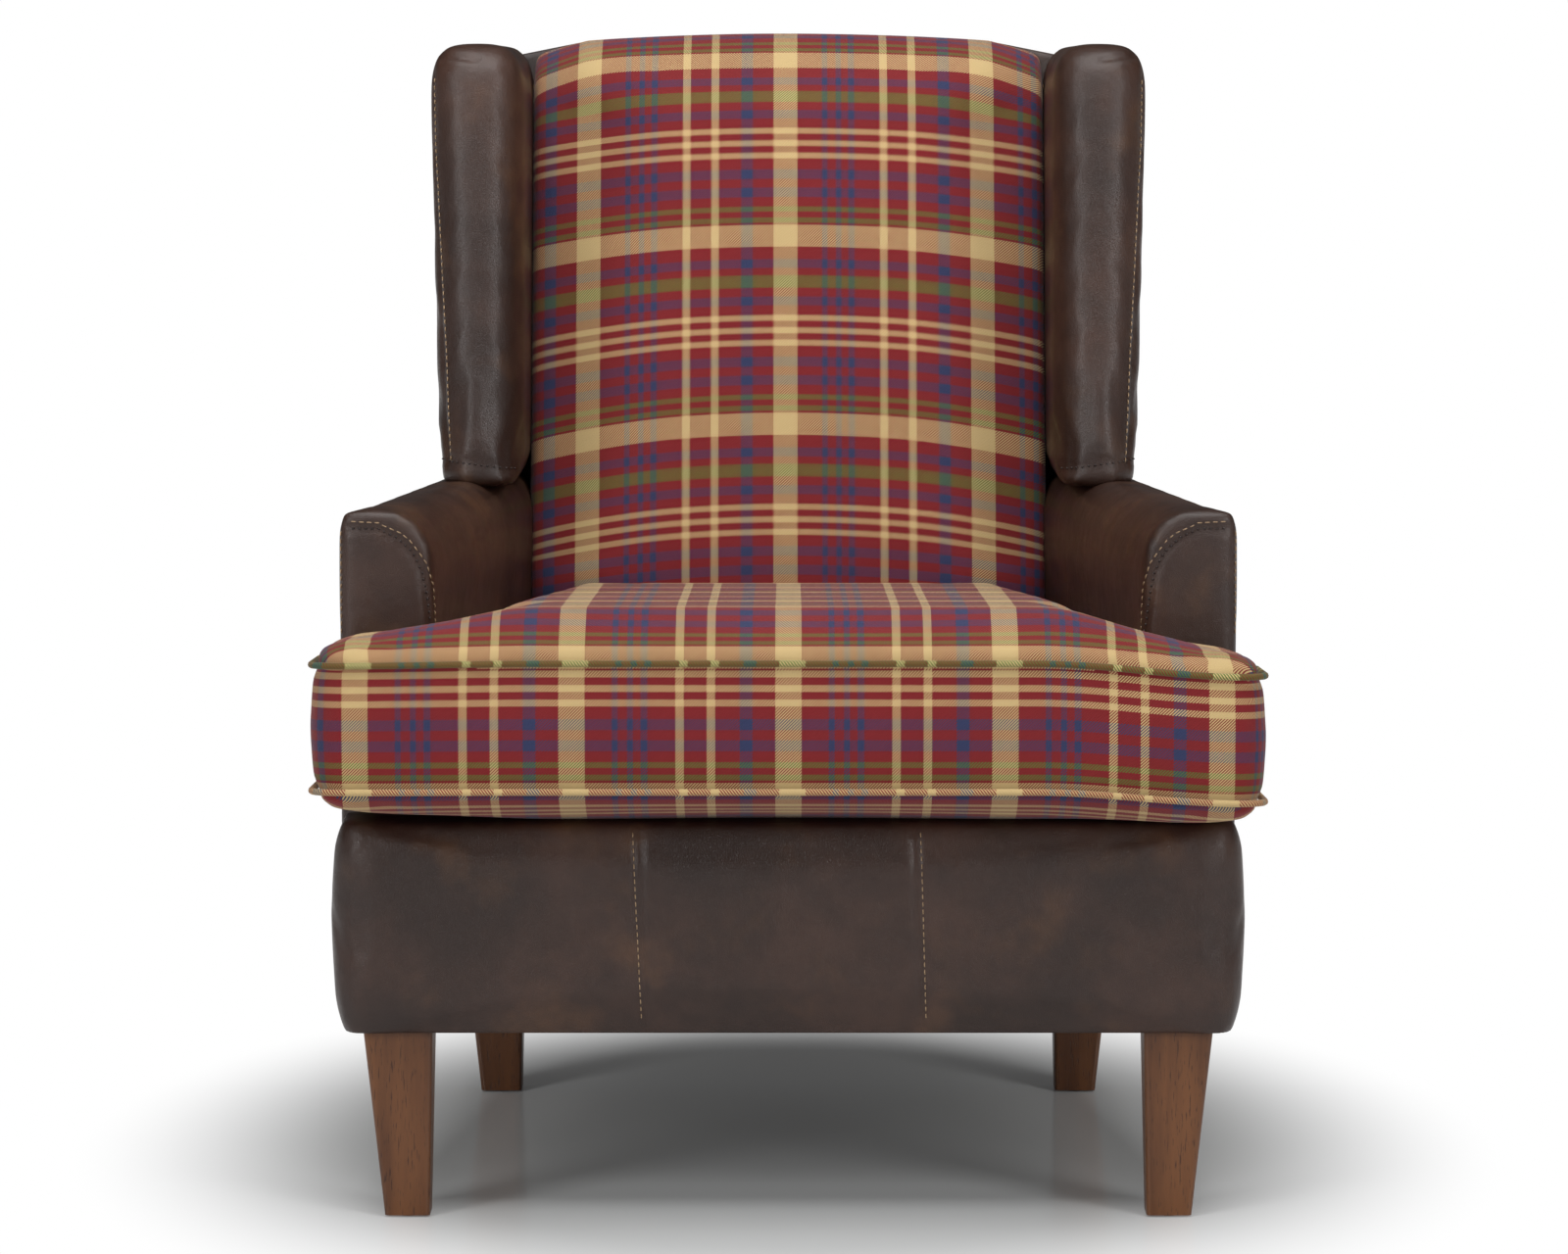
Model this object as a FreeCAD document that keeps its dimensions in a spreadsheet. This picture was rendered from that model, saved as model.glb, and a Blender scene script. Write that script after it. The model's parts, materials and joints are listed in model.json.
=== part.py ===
import FreeCAD, Part
import math
import os
import re
import Sketcher

# Fireside chair: a wing-back armchair with a loose T-shaped seat cushion.
# Millimetres.  +X is the sitter's left, the front faces -Y, +Z is up, and the
# origin lies on the floor under the middle of the chair.  "Depth" is measured
# rearward from the front face of the apron.

doc = FreeCAD.newDocument("fireside_chair")
sheet = doc.addObject("Spreadsheet::Sheet", "size")

# Driving dimensions: alias, value, meaning
DIMENSIONS = [
    ("leg_height", 155, "floor to underside of the seat box"),
    ("leg_top_width", 57, "square top of a leg"),
    ("leg_foot_width", 37, "square foot of a leg"),
    ("front_leg_inner", 292, "centre line to inner face of a front leg"),
    ("front_leg_depth", 22, "apron front to front face of a front leg"),
    ("rear_leg_inner", 243, "centre line to inner face of a rear leg"),
    ("rear_leg_depth", 632, "apron front to front face of a rear leg"),
    ("leg_inner_taper", 3, "how far a foot is set out from its leg's inner face"),
    ("leg_edge_radius", 4, "softened edges of a leg"),
    ("glide_height", 4, "nail-on glide under a foot"),
    ("glide_proud", 1.5, "how far a glide stands out of its foot"),
    ("glide_diameter", 24, "width of a glide"),
    ("bolt_diameter", 8, "hanger bolt of a leg"),
    ("bolt_in_leg", 40, "bolt length inside the leg"),
    ("bolt_in_block", 34, "bolt length inside the corner block"),
    ("bolt_behind_rail", 16, "bolt axis behind the rail face"),
    ("block_height", 45, "front corner block"),
    ("block_depth", 44, "front corner block"),
    ("block_margin", 30, "front corner block, inward of its leg"),
    ("nut_flange_diameter", 22, "flange of a tee nut"),
    ("nut_barrel_diameter", 11, "barrel of a tee nut"),
    ("nut_height", 14, "barrel length of a tee nut"),
    ("nut_flange_thickness", 2, "flange thickness of a tee nut"),
    ("apron_width", 752, "padded apron, side to side"),
    ("apron_crown", 18, "how far the apron swells past its hems"),
    ("apron_rise", 3, "apron top above the deck's front edge"),
    ("apron_hem_roll", 40, "height of the rolled hem below and above the apron"),
    ("apron_return_width", 24, "foam outside the spring well"),
    ("apron_corner_radius", 26, "front corners of the apron in plan"),
    ("apron_foam", 22, "foam in front of the front rail"),
    ("apron_seam_left", -118, "left upright seam of the apron"),
    ("apron_seam_right", 107, "right upright seam of the apron"),
    ("arm_setback", 100, "apron front to arm front"),
    ("seat_front_height", 335, "deck height at the apron front"),
    ("seat_slope", 2.5, "deck slope down to the rear, degrees"),
    ("deck_thickness", 22, "padded deck over the springs"),
    ("side_half_width", 375, "centre line to outer face of an arm at its front"),
    ("side_taper", 7, "plan angle of each side towards the rear, degrees"),
    ("arm_width", 81, "padded arm, inner to outer face"),
    ("arm_height", 580, "floor to arm top"),
    ("arm_inner_radius", 45, "inner top corner of an arm"),
    ("arm_outer_radius", 15, "outer top corner of an arm"),
    ("arm_inner_foam", 13, "foam on the inner face of an arm"),
    ("arm_top_foam", 40, "foam on top of an arm"),
    ("arm_outer_lip", 20, "padding outside the arm rail"),
    ("arm_lip_height", 80, "drop of the arm cover on the outside"),
    ("arm_wall_drop", 280, "drop of the arm cover on the inside"),
    ("facing_thickness", 12, "padded front panel of an arm"),
    ("outer_pad_thickness", 15, "padded outside panel of an arm"),
    ("arm_post_depth", 42, "front post of an arm, front to rear"),
    ("arm_rail_height", 28, "top rail of an arm"),
    ("rail_thickness", 26, "seat rails"),
    ("side_rail_height", 130, "side rails of the seat"),
    ("rail_bottom_gap", 2.5, "leg top to underside of the rails"),
    ("base_depth", 697, "apron front to outside back at the seat"),
    ("back_knee_height", 340, "height where the back starts to lean"),
    ("back_top_depth", 815, "apron front to outside back at the top"),
    ("back_panel_thickness", 5, "outside back panel"),
    ("post_depth", 50, "back post, front to rear"),
    ("post_thickness", 38, "back post, side to side"),
    ("post_top_drop", 43, "top of a back post below the wing top"),
    ("top_rail_height", 60, "top rail of the back"),
    ("lower_rail_height", 50, "lower rail of the back"),
    ("lower_rail_bottom", 345, "floor to the lower rail of the back"),
    ("webbing_width", 50, "back webbing strap"),
    ("webbing_thickness", 1.5, "back webbing strap"),
    ("webbing_landing", 12, "strap end on a back post"),
    ("webbing_count", 5, "back webbing straps"),
    ("webbing_first_height", 448, "floor to the lowest strap"),
    ("webbing_spacing", 100, "between straps"),
    ("wing_height", 968, "floor to wing top"),
    ("wing_low_depth", 450, "apron front to wing front at arm level"),
    ("wing_top_depth", 520, "apron front to wing front at the top"),
    ("wing_low_half", 315, "centre line to outer wing face at arm level"),
    ("wing_top_half", 328, "centre line to outer wing face at the top"),
    ("wing_top_roll", 30, "rounded top of a wing"),
    ("wing_nose_radius", 34, "rounded front of a wing in plan"),
    ("wing_board_thickness", 20, "board inside a wing"),
    ("wing_board_cover", 16, "padding outside the wing board"),
    ("wing_board_nose", 30, "padding in front of the wing board"),
    ("wing_board_top", 28, "padding above the wing board"),
    ("wing_panel_margin", 18, "front roll left beside the outside wing panel"),
    ("back_rise", 4, "rolled top of the inside back above the wing top"),
    ("back_low_depth", 566, "apron front to inside back at the cushion"),
    ("back_lean_height", 480, "height where the inside back starts to lean"),
    ("back_upper_depth", 690, "apron front to inside back near its top"),
    ("back_upper_drop", 22, "that upper point below the rolled top"),
    ("back_half_width", 236, "half width of the inside back"),
    ("back_crown_width", 64, "band over which the swell dies out"),
    ("back_roll_height", 45, "height of the rolled top of the inside back"),
    ("back_roll_depth", 66, "front to rear of the rolled top"),
    ("back_edge_radius", 20, "side edges of the inside back in plan"),
    ("back_shoulder_radius", 150, "where its swell flattens, in plan"),
    ("back_crown", 24, "swell of the inside back across its width"),
    ("cover_thickness", 2, "leather or tartan cloth with its wadding"),
    ("cushion_overhang", 45, "cushion front ahead of the apron"),
    ("cushion_width", 780, "cushion across its ears"),
    ("cushion_rear_gap", 4, "cushion rear to inside back"),
    ("cushion_side_gap", 1.2, "cushion side to arm"),
    ("cushion_ear_gap", 5, "cushion ear to arm front"),
    ("ear_corner_radius", 30, "front corners of the cushion in plan"),
    ("ear_back_radius", 20, "rear corners of the ears in plan"),
    ("cushion_notch_radius", 3, "inner corner between ear and arm"),
    ("cushion_under_crown", 23, "underside swell below the lower seam"),
    ("cushion_band", 104, "boxing band between the seams"),
    ("cushion_top_crown", 38, "crown above the upper seam"),
    ("cushion_edge_roll", 51, "how far in from the seam the crown flattens"),
    ("seam_draw", 3.2, "how far the seams pull in the cushion sides"),
    ("welt_diameter", 5.2, "piping on the cushion seams"),
    ("zip_length", 420, "zip on the rear band"),
    ("zip_width", 26, "zip tape"),
    ("zip_thickness", 2, "zip tape and teeth"),
    ("slider_length", 11, "zip slider along the zip"),
    ("slider_height", 9, "zip slider across the zip"),
    ("slider_thickness", 1.6, "zip slider"),
    ("placket_margin", 2, "open placket above and below the slider"),
    ("zip_recess", 5, "depth of the zip placket"),
    ("spring_count", 5, "zigzag springs across the seat"),
    ("spring_wire", 3.8, "spring wire"),
    ("spring_pitch", 24, "one run of a zigzag spring"),
    ("spring_width", 48, "zigzag spring, side to side"),
    ("spring_spacing", 98, "between spring centre lines"),
    ("clip_thickness", 1.5, "spring clip"),
    ("clip_width", 16, "spring clip"),
    ("clip_length", 24, "spring clip, along the spring"),
    ("dust_cover_thickness", 1, "cambric under the seat"),
    ("fit", 0.3, "clearance between neighbouring soft pieces"),
    ("post_top_height", "=wing_height - post_top_drop", "floor to top of a back post"),
    ("back_height", "=wing_height + back_rise", "floor to the rolled top of the inside back"),
    ("back_upper_height", "=wing_height + back_rise - back_upper_drop", "height of the upper point"),
]
for row, (alias, value, meaning) in enumerate(DIMENSIONS, start=1):
    sheet.set("A%d" % row, meaning)
    sheet.set("B%d" % row, str(value))
    sheet.setAlias("B%d" % row, alias)
doc.recompute()


def size(alias):
    return float(sheet.get(alias))


ALIASES = {alias for alias, value, meaning in DIMENSIONS}
FRONT = "(cushion_overhang - back_top_depth) / 2"
RUN = "((back_top_depth - base_depth) / (wing_height - back_knee_height))"
SECANT = "sqrt(1 + %s * %s)" % (RUN, RUN)
RAIL_BOTTOM = "leg_height + rail_bottom_gap"
SPRING_STACK = "(deck_thickness + fit + spring_wire + clip_thickness)"

front = (size("cushion_overhang") - size("back_top_depth")) / 2
taper = math.radians(size("side_taper"))
slope = math.radians(size("seat_slope"))
lean = (size("back_top_depth") - size("base_depth")) / (size("wing_height") - size("back_knee_height"))
fit = size("fit")
post_inner = size("back_half_width") + fit
foam_inset = size("cover_thickness") + fit
nodes = []

DERIVED = {"post_inner": "(back_half_width + fit)"}

# Cutters and blanks run past the chair by this much; hidden edges keep a token radius;
# a sketch's corners start on a circle of this size, before the sheet's values move them
OVERRUN = 60
HIDDEN_RADIUS = 2
START_RADIUS = 100
SHARP_RADIUS = 0.5


def with_sheet_name(found):
    """Turn an alias or a derived name into an expression on the sheet."""
    word = found.group()
    if word in DERIVED:
        return re.sub("[a-z_]+", with_sheet_name, DERIVED[word])
    return "size." + word if word in ALIASES else word


def bind(item, target, text):
    """Tie a property to the sheet; bare aliases get the sheet's name."""
    item.setExpression(target, re.sub("[a-z_]+", with_sheet_name, text))


def keep(item):
    """Mark an object as a piece of the chair."""
    nodes.append(item)
    return item


def board(label, x, depth, height):
    """A board square to the chair; each argument is its start and its length."""
    item = doc.addObject("Part::Box", label)
    bind(item, "Placement.Base.x", x[0])
    bind(item, "Placement.Base.y", FRONT + " + " + depth[0])
    bind(item, "Placement.Base.z", height[0])
    bind(item, "Length", x[1])
    bind(item, "Width", depth[1])
    bind(item, "Height", height[1])
    return item


def side_board(label, across, along, height):
    """A board of the right-hand side frame, which turns in towards the rear.

    "Across" runs outward from the arm's outer face, "along" runs back from the arm's front.
    """
    item = doc.addObject("Part::Box", label)
    item.Placement.Rotation = FreeCAD.Rotation(FreeCAD.Vector(0, 0, 1), 1)
    place = (across[0], along[0])
    bind(item, "Placement.Rotation.Angle", "side_taper")
    bind(item, "Placement.Base.x",
         "side_half_width + (%s) * cos(side_taper) - (%s) * sin(side_taper)" % place)
    bind(item, "Placement.Base.y",
         FRONT + " + arm_setback + (%s) * sin(side_taper) + (%s) * cos(side_taper)" % place)
    bind(item, "Placement.Base.z", height[0])
    bind(item, "Length", across[1])
    bind(item, "Width", along[1])
    bind(item, "Height", height[1])
    return item


def back_board(label, x, bottom, inset, thickness, height):
    """A board that leans with the back; its rear face lies the inset ahead of the outside back."""
    item = doc.addObject("Part::Box", label)
    item.Placement.Rotation = FreeCAD.Rotation(FreeCAD.Vector(1, 0, 0), 1)
    rear = "base_depth - (%s) * %s + (%s - back_knee_height) * %s" % (inset, SECANT, bottom, RUN)
    bind(item, "Placement.Rotation.Angle", "-atan(%s)" % RUN)
    bind(item, "Placement.Base.x", x[0])
    bind(item, "Placement.Base.y", FRONT + " + %s - %s / %s" % (rear, thickness, SECANT))
    bind(item, "Placement.Base.z", "%s + %s * %s / %s" % (bottom, thickness, RUN, SECANT))
    bind(item, "Length", x[1])
    bind(item, "Width", thickness)
    bind(item, "Height", height)
    return item


def polygon(body, role, points, name):
    """A closed sketch of straight lines, each corner tied to the sheet."""
    sketch = body.newObject("Sketcher::SketchObject", name)
    plane = [part for part in body.Origin.OriginFeatures if part.Role == role]
    sketch.AttachmentSupport = [(plane[0], "")]
    sketch.MapMode = "FlatFace"
    count = len(points)
    turns = [2 * math.pi * i / count for i in range(count)]
    start = [FreeCAD.Vector(math.cos(turn), math.sin(turn), 0) * START_RADIUS for turn in turns]
    for i in range(count):
        sketch.addGeometry(Part.LineSegment(start[i], start[(i + 1) % count]), False)
    for i in range(count):
        sketch.addConstraint(Sketcher.Constraint("Coincident", i, 2, (i + 1) % count, 1))
    for i, (across, up) in enumerate(points):
        index = sketch.addConstraint(Sketcher.Constraint("DistanceX", -1, 1, i, 1, start[i].x))
        bind(sketch, "Constraints[%d]" % index, across)
        index = sketch.addConstraint(Sketcher.Constraint("DistanceY", -1, 1, i, 1, start[i].y))
        bind(sketch, "Constraints[%d]" % index, up)
    return sketch


def plate(label, role, points, thickness):
    """A flat piece of any outline, padded up from one of its own planes."""
    body = doc.addObject("PartDesign::Body", label)
    outline = polygon(body, role, points, label + "_outline")
    pad = body.newObject("PartDesign::Pad", label + "_pad")
    pad.Profile = outline
    bind(pad, "Length", thickness)
    return body


def trimmed(label, base, cutters):
    """The base with each cutter taken away in turn."""
    for index, cutter in enumerate(cutters):
        name = label if index == len(cutters) - 1 else "%s_step_%d" % (label, index + 1)
        result = doc.addObject("Part::Cut", name)
        result.Base = base
        result.Tool = cutter
        base = result
    return base


def mirrored(label, source):
    """The same piece on the other side of the chair."""
    item = doc.addObject("Part::Mirroring", label)
    item.Source = source
    item.Normal = FreeCAD.Vector(1, 0, 0)
    return keep(item)


def placed(label, shape):
    """A piece whose form is worked out in code, or a cutter."""
    item = doc.addObject("Part::Feature", label)
    item.Shape = shape
    return item


# Shared limits of the chair's outside

def outside_back(height, inset):
    """Depth of the plane that lies the inset forward of the outside back."""
    rise = max(0.0, height - size("back_knee_height"))
    along = inset if rise == 0 else inset * math.sqrt(1 + lean * lean)
    return size("base_depth") + rise * lean - along


def space_behind(inset):
    """Everything to the rear of the two planes that a back post's face at that inset lies in."""
    knee = size("back_knee_height")
    top = size("post_top_height")
    reach = size("wing_height") + OVERRUN
    at_knee = outside_back(knee, inset)
    at_reach = at_knee + (outside_back(top, inset) - at_knee) * (reach - knee) / (top - knee)
    far = 2 * size("back_top_depth")
    outline = [(at_knee, -OVERRUN), (at_knee, knee), (at_reach, reach), (far, reach), (far, -OVERRUN)]
    half = size("cushion_width")
    points = [FreeCAD.Vector(-half, front + depth, height) for depth, height in outline]
    return Part.Face(Part.makePolygon(points + points[:1])).extrude(FreeCAD.Vector(2 * half, 0, 0))


post_depths = "base_depth - back_panel_thickness - post_depth"
frame_inset = size("back_panel_thickness") + size("post_depth")
behind_panel = placed("behind_panel", space_behind(size("back_panel_thickness")))
behind_post = placed("behind_post_front", space_behind(frame_inset))
before_seat = board("before_seat", ("-cushion_width", "2 * cushion_width"),
                    ("-arm_setback", "arm_setback + apron_foam + rail_thickness"), ("0", "back_height"))
before_arm = board("before_arm", ("-cushion_width", "2 * cushion_width"),
                   ("-arm_setback", "2 * arm_setback + facing_thickness + fit"), ("0", "back_height"))

# Hardwood seat frame

BETWEEN_POSTS = ("-post_inner", "2 * post_inner")
RAIL_REAR = "(apron_foam + rail_thickness)"
PANEL_FRONT = "(base_depth - back_panel_thickness)"
UNDER_SPRINGS = "seat_front_height - %s - %s * tan(seat_slope) - (%s)"
keep(board("front_rail", ("-apron_width / 2 + apron_corner_radius", "apron_width - 2 * apron_corner_radius"),
           ("apron_foam", "rail_thickness"),
           (RAIL_BOTTOM, UNDER_SPRINGS % (SPRING_STACK, RAIL_REAR, RAIL_BOTTOM))))
keep(board("back_rail", BETWEEN_POSTS,
           (PANEL_FRONT + " - rail_thickness", "rail_thickness"),
           (RAIL_BOTTOM, UNDER_SPRINGS % (SPRING_STACK, PANEL_FRONT, RAIL_BOTTOM))))
rail_stock = side_board("side_rail_stock",
                        ("-outer_pad_thickness - fit - rail_thickness", "rail_thickness"),
                        ("-arm_setback", "base_depth"), (RAIL_BOTTOM, "side_rail_height"))
right_side_rail = keep(trimmed("right_side_rail", rail_stock, [before_seat, behind_post]))
mirrored("left_side_rail", right_side_rail)

# Arm frame: a front post on the side rail, and a top rail back to the back post

arm_frame_across = ("-arm_width + arm_inner_foam", "arm_width - arm_inner_foam - arm_outer_lip")
arm_rail_bottom = "arm_height - arm_top_foam - arm_rail_height"
arm_post_stock = side_board("arm_post_stock", arm_frame_across,
                            ("-arm_setback", "arm_setback + facing_thickness + arm_post_depth"),
                            (RAIL_BOTTOM + " + side_rail_height",
                             arm_rail_bottom + " - (%s) - side_rail_height" % RAIL_BOTTOM))
right_arm_post = keep(trimmed("right_arm_post", arm_post_stock, [before_arm]))
mirrored("left_arm_post", right_arm_post)
arm_rail_stock = side_board("arm_rail_stock", arm_frame_across,
                            ("-arm_setback", "arm_setback + base_depth"), (arm_rail_bottom, "arm_rail_height"))
right_arm_rail = keep(trimmed("right_arm_rail", arm_rail_stock, [before_arm, behind_post]))
mirrored("left_arm_rail", right_arm_rail)

# Back frame: two posts with a knee at the seat, and two rails between them

AT_POST_TOP = "base_depth - %s * " + SECANT + " + (post_top_height - back_knee_height) * " + RUN
post_points = [(post_depths, RAIL_BOTTOM), (PANEL_FRONT, RAIL_BOTTOM), (PANEL_FRONT, "back_knee_height"),
               (AT_POST_TOP % "back_panel_thickness", "post_top_height"),
               (AT_POST_TOP % "(back_panel_thickness + post_depth)", "post_top_height"),
               (post_depths, "back_knee_height")]
post_stock = plate("back_post_stock", "YZ_Plane", post_points, "post_thickness")
bind(post_stock, "Placement.Base.x", "post_inner")
bind(post_stock, "Placement.Base.y", FRONT)
top_rail = keep(back_board("back_top_rail", BETWEEN_POSTS, "post_top_height - top_rail_height",
                           "back_panel_thickness", "rail_thickness", "top_rail_height"))
keep(back_board("back_lower_rail", BETWEEN_POSTS, "lower_rail_bottom",
                "back_panel_thickness", "rail_thickness", "lower_rail_height"))

# Legs with their bolts, tee nuts and glides


def group(label, items):
    """Several like pieces as one node of separate solids."""
    item = doc.addObject("Part::Compound", label)
    item.Links = items
    return item


def both_sides(label, items):
    """The right-hand pieces and their mirror images as one node."""
    right = group(label + "_right", items)
    left = doc.addObject("Part::Mirroring", label + "_left")
    left.Source = right
    left.Normal = FreeCAD.Vector(1, 0, 0)
    return keep(group(label, [right, left]))


def rod(label, centre, diameter, bottom, height):
    """An upright cylinder over a point given as x and depth."""
    item = doc.addObject("Part::Cylinder", label)
    bind(item, "Placement.Base.x", centre[0])
    bind(item, "Placement.Base.y", FRONT + " + " + centre[1])
    bind(item, "Placement.Base.z", bottom)
    bind(item, "Radius", "%s / 2" % diameter)
    bind(item, "Height", height)
    return item


def socket(body, label, centre, diameter, height, depth, upward):
    """A round pocket cut into a body from a level."""
    sketch = body.newObject("Sketcher::SketchObject", label + "_circle")
    plane = [part for part in body.Origin.OriginFeatures if part.Role == "XY_Plane"]
    sketch.AttachmentSupport = [(plane[0], "")]
    sketch.MapMode = "FlatFace"
    bind(sketch, "AttachmentOffset.Base.z", height)
    sketch.addGeometry(Part.Circle(FreeCAD.Vector(), FreeCAD.Vector(0, 0, 1), 5), False)
    index = sketch.addConstraint(Sketcher.Constraint("Diameter", 0, START_RADIUS))
    bind(sketch, "Constraints[%d]" % index, diameter)
    for kind, text in zip(("DistanceX", "DistanceY"), centre):
        index = sketch.addConstraint(Sketcher.Constraint(kind, -1, 1, 0, 3, START_RADIUS))
        bind(sketch, "Constraints[%d]" % index, text)
    pocket = body.newObject("PartDesign::Pocket", label)
    pocket.Profile = sketch
    pocket.Reversed = upward
    bind(pocket, "Length", depth)


def leg(label, inner, depth, bolt):
    """A square leg that tapers on its outer and rear faces, with its two sockets."""
    body = doc.addObject("PartDesign::Body", label)
    bind(body, "Placement.Base.y", "%s + %s" % (FRONT, depth))
    foot = inner + " + leg_inner_taper"
    front_corners = [(foot, "glide_proud"), (foot + " + leg_foot_width", "glide_proud"),
                     (inner + " + leg_top_width", "leg_height"), (inner, "leg_height")]
    front_view = polygon(body, "XZ_Plane", front_corners, label + "_front_view")
    blank = body.newObject("PartDesign::Pad", label + "_blank")
    blank.Profile = front_view
    blank.Reversed = True
    bind(blank, "Length", "leg_top_width")
    rear_corners = [("leg_foot_width", "glide_proud"), ("leg_top_width", "leg_height"),
                    ("2 * leg_top_width", "leg_height"), ("2 * leg_top_width", "glide_proud")]
    waste = polygon(body, "YZ_Plane", rear_corners, label + "_rear_waste")
    taper_cut = body.newObject("PartDesign::Pocket", label + "_rear_taper")
    taper_cut.Profile = waste
    taper_cut.Type = "ThroughAll"
    taper_cut.Midplane = True
    doc.recompute()
    upright = ["Edge%d" % (i + 1) for i, edge in enumerate(taper_cut.Shape.Edges)
               if abs(edge.Vertexes[0].Z - edge.Vertexes[-1].Z) > size("leg_height") / 2]
    rounding = body.newObject("PartDesign::Fillet", label + "_rounding")
    rounding.Base = (taper_cut, upright)
    bind(rounding, "Radius", "leg_edge_radius")
    socket(body, label + "_bolt_socket", (bolt[0], "%s - (%s)" % (bolt[1], depth)), "bolt_diameter",
           "leg_height", "bolt_in_leg", False)
    middle = ("%s + leg_inner_taper + leg_foot_width / 2" % inner, "%s + leg_foot_width / 2" % depth)
    socket(body, label + "_glide_socket", (middle[0], "leg_foot_width / 2"), "glide_diameter",
           "glide_proud", "glide_height - glide_proud", True)
    glides.append(rod(label + "_glide", middle, "glide_diameter", "0", "glide_height"))
    bolts.append(rod(label + "_bolt", bolt, "bolt_diameter", "leg_height - bolt_in_leg",
                     "bolt_in_leg + rail_bottom_gap + bolt_in_block"))
    flange = rod(label + "_nut_flange", bolt, "nut_flange_diameter",
                 RAIL_BOTTOM + " - nut_flange_thickness", "nut_flange_thickness")
    barrel = rod(label + "_nut_barrel", bolt, "nut_barrel_diameter", RAIL_BOTTOM, "nut_height")
    nut = doc.addObject("Part::MultiFuse", label + "_nut_blank")
    nut.Shapes = [flange, barrel]
    nuts.append(trimmed(label + "_nut", nut, [bolts[-1]]))
    bore = doc.addObject("Part::MultiFuse", label + "_bore")
    bore.Shapes = [barrel, bolts[-1]]
    return keep(body), bore


bolts, nuts, glides = [], [], []
front_bolt = ("front_leg_inner + leg_top_width / 2", "apron_foam + rail_thickness + bolt_behind_rail")
rear_bolt = ("post_inner + post_thickness / 2", "rear_leg_depth + leg_top_width / 2")
front_right_leg, front_bore = leg("front_right_leg", "front_leg_inner", "front_leg_depth", front_bolt)
rear_right_leg, rear_bore = leg("rear_right_leg", "rear_leg_inner", "rear_leg_depth", rear_bolt)
mirrored("front_left_leg", front_right_leg)
mirrored("rear_left_leg", rear_right_leg)
both_sides("leg_bolts", bolts)
both_sides("leg_nuts", nuts)
both_sides("leg_glides", glides)

right_back_post = keep(trimmed("right_back_post", post_stock, [rear_bore]))
mirrored("left_back_post", right_back_post)
block_stock = board("corner_block_stock",
                    ("front_leg_inner - block_margin", "block_margin + leg_top_width"),
                    (RAIL_REAR, "block_depth"), (RAIL_BOTTOM, "block_height"))
both_sides("front_corner_blocks",
           [trimmed("right_corner_block", block_stock, [right_side_rail, front_bore])])

# Back webbing: straps across the front of the back posts

straps = []
for i in range(int(size("webbing_count"))):
    bottom = "webbing_first_height + %d * webbing_spacing" % i
    straps.append(back_board("webbing_strap_%d" % (i + 1),
                             ("-post_inner - webbing_landing", "2 * (post_inner + webbing_landing)"), bottom,
                             "back_panel_thickness + post_depth", "webbing_thickness", "webbing_width"))
back_webbing = keep(group("back_webbing", straps))

# Padded deck over the springs, and the cambric under the seat

DECK_HALF = "side_half_width - arm_width / cos(side_taper) - fit"
deck_rear = post_depths + " - fit"
deck_rear_half = "%s - (%s - arm_setback) * tan(side_taper)" % (DECK_HALF, deck_rear)
arm_corner = "arm_setback - arm_width * tan(side_taper)"
deck_points = [("-(%s)" % DECK_HALF, RAIL_REAR), (DECK_HALF, RAIL_REAR), (DECK_HALF, arm_corner),
               (deck_rear_half, deck_rear), ("-(%s)" % deck_rear_half, deck_rear),
               ("-(%s)" % DECK_HALF, arm_corner)]
seat_deck = keep(plate("seat_deck", "XY_Plane", deck_points, "deck_thickness"))
seat_deck.Placement.Rotation = FreeCAD.Rotation(FreeCAD.Vector(1, 0, 0), 1)
bind(seat_deck, "Placement.Rotation.Angle", "-seat_slope")
bind(seat_deck, "Placement.Base.y", FRONT + " - deck_thickness * sin(seat_slope)")
bind(seat_deck, "Placement.Base.z", "seat_front_height - deck_thickness * cos(seat_slope)")
dust_cover = keep(plate("dust_cover", "XY_Plane",
                        [("-front_leg_inner + leg_edge_radius", "apron_foam + fit"),
                         ("front_leg_inner - leg_edge_radius", "apron_foam + fit"),
                         ("rear_leg_inner - leg_edge_radius", PANEL_FRONT),
                         ("-rear_leg_inner + leg_edge_radius", PANEL_FRONT)],
                        "dust_cover_thickness"))
bind(dust_cover, "Placement.Base.y", FRONT)
bind(dust_cover, "Placement.Base.z", RAIL_BOTTOM + " - dust_cover_thickness")

# Zigzag springs from the front rail to the back rail, with a clip at each end


def on_slope(shape):
    """Move a shape drawn along the deck's top plane to its place."""
    turn = FreeCAD.Rotation(FreeCAD.Vector(1, 0, 0), -math.degrees(slope))
    result = shape.copy()
    result.Placement = FreeCAD.Placement(FreeCAD.Vector(0, front, size("seat_front_height")), turn)
    return result


def arc(start, middle, end):
    return Part.Arc(start, middle, end).toShape()


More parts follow.
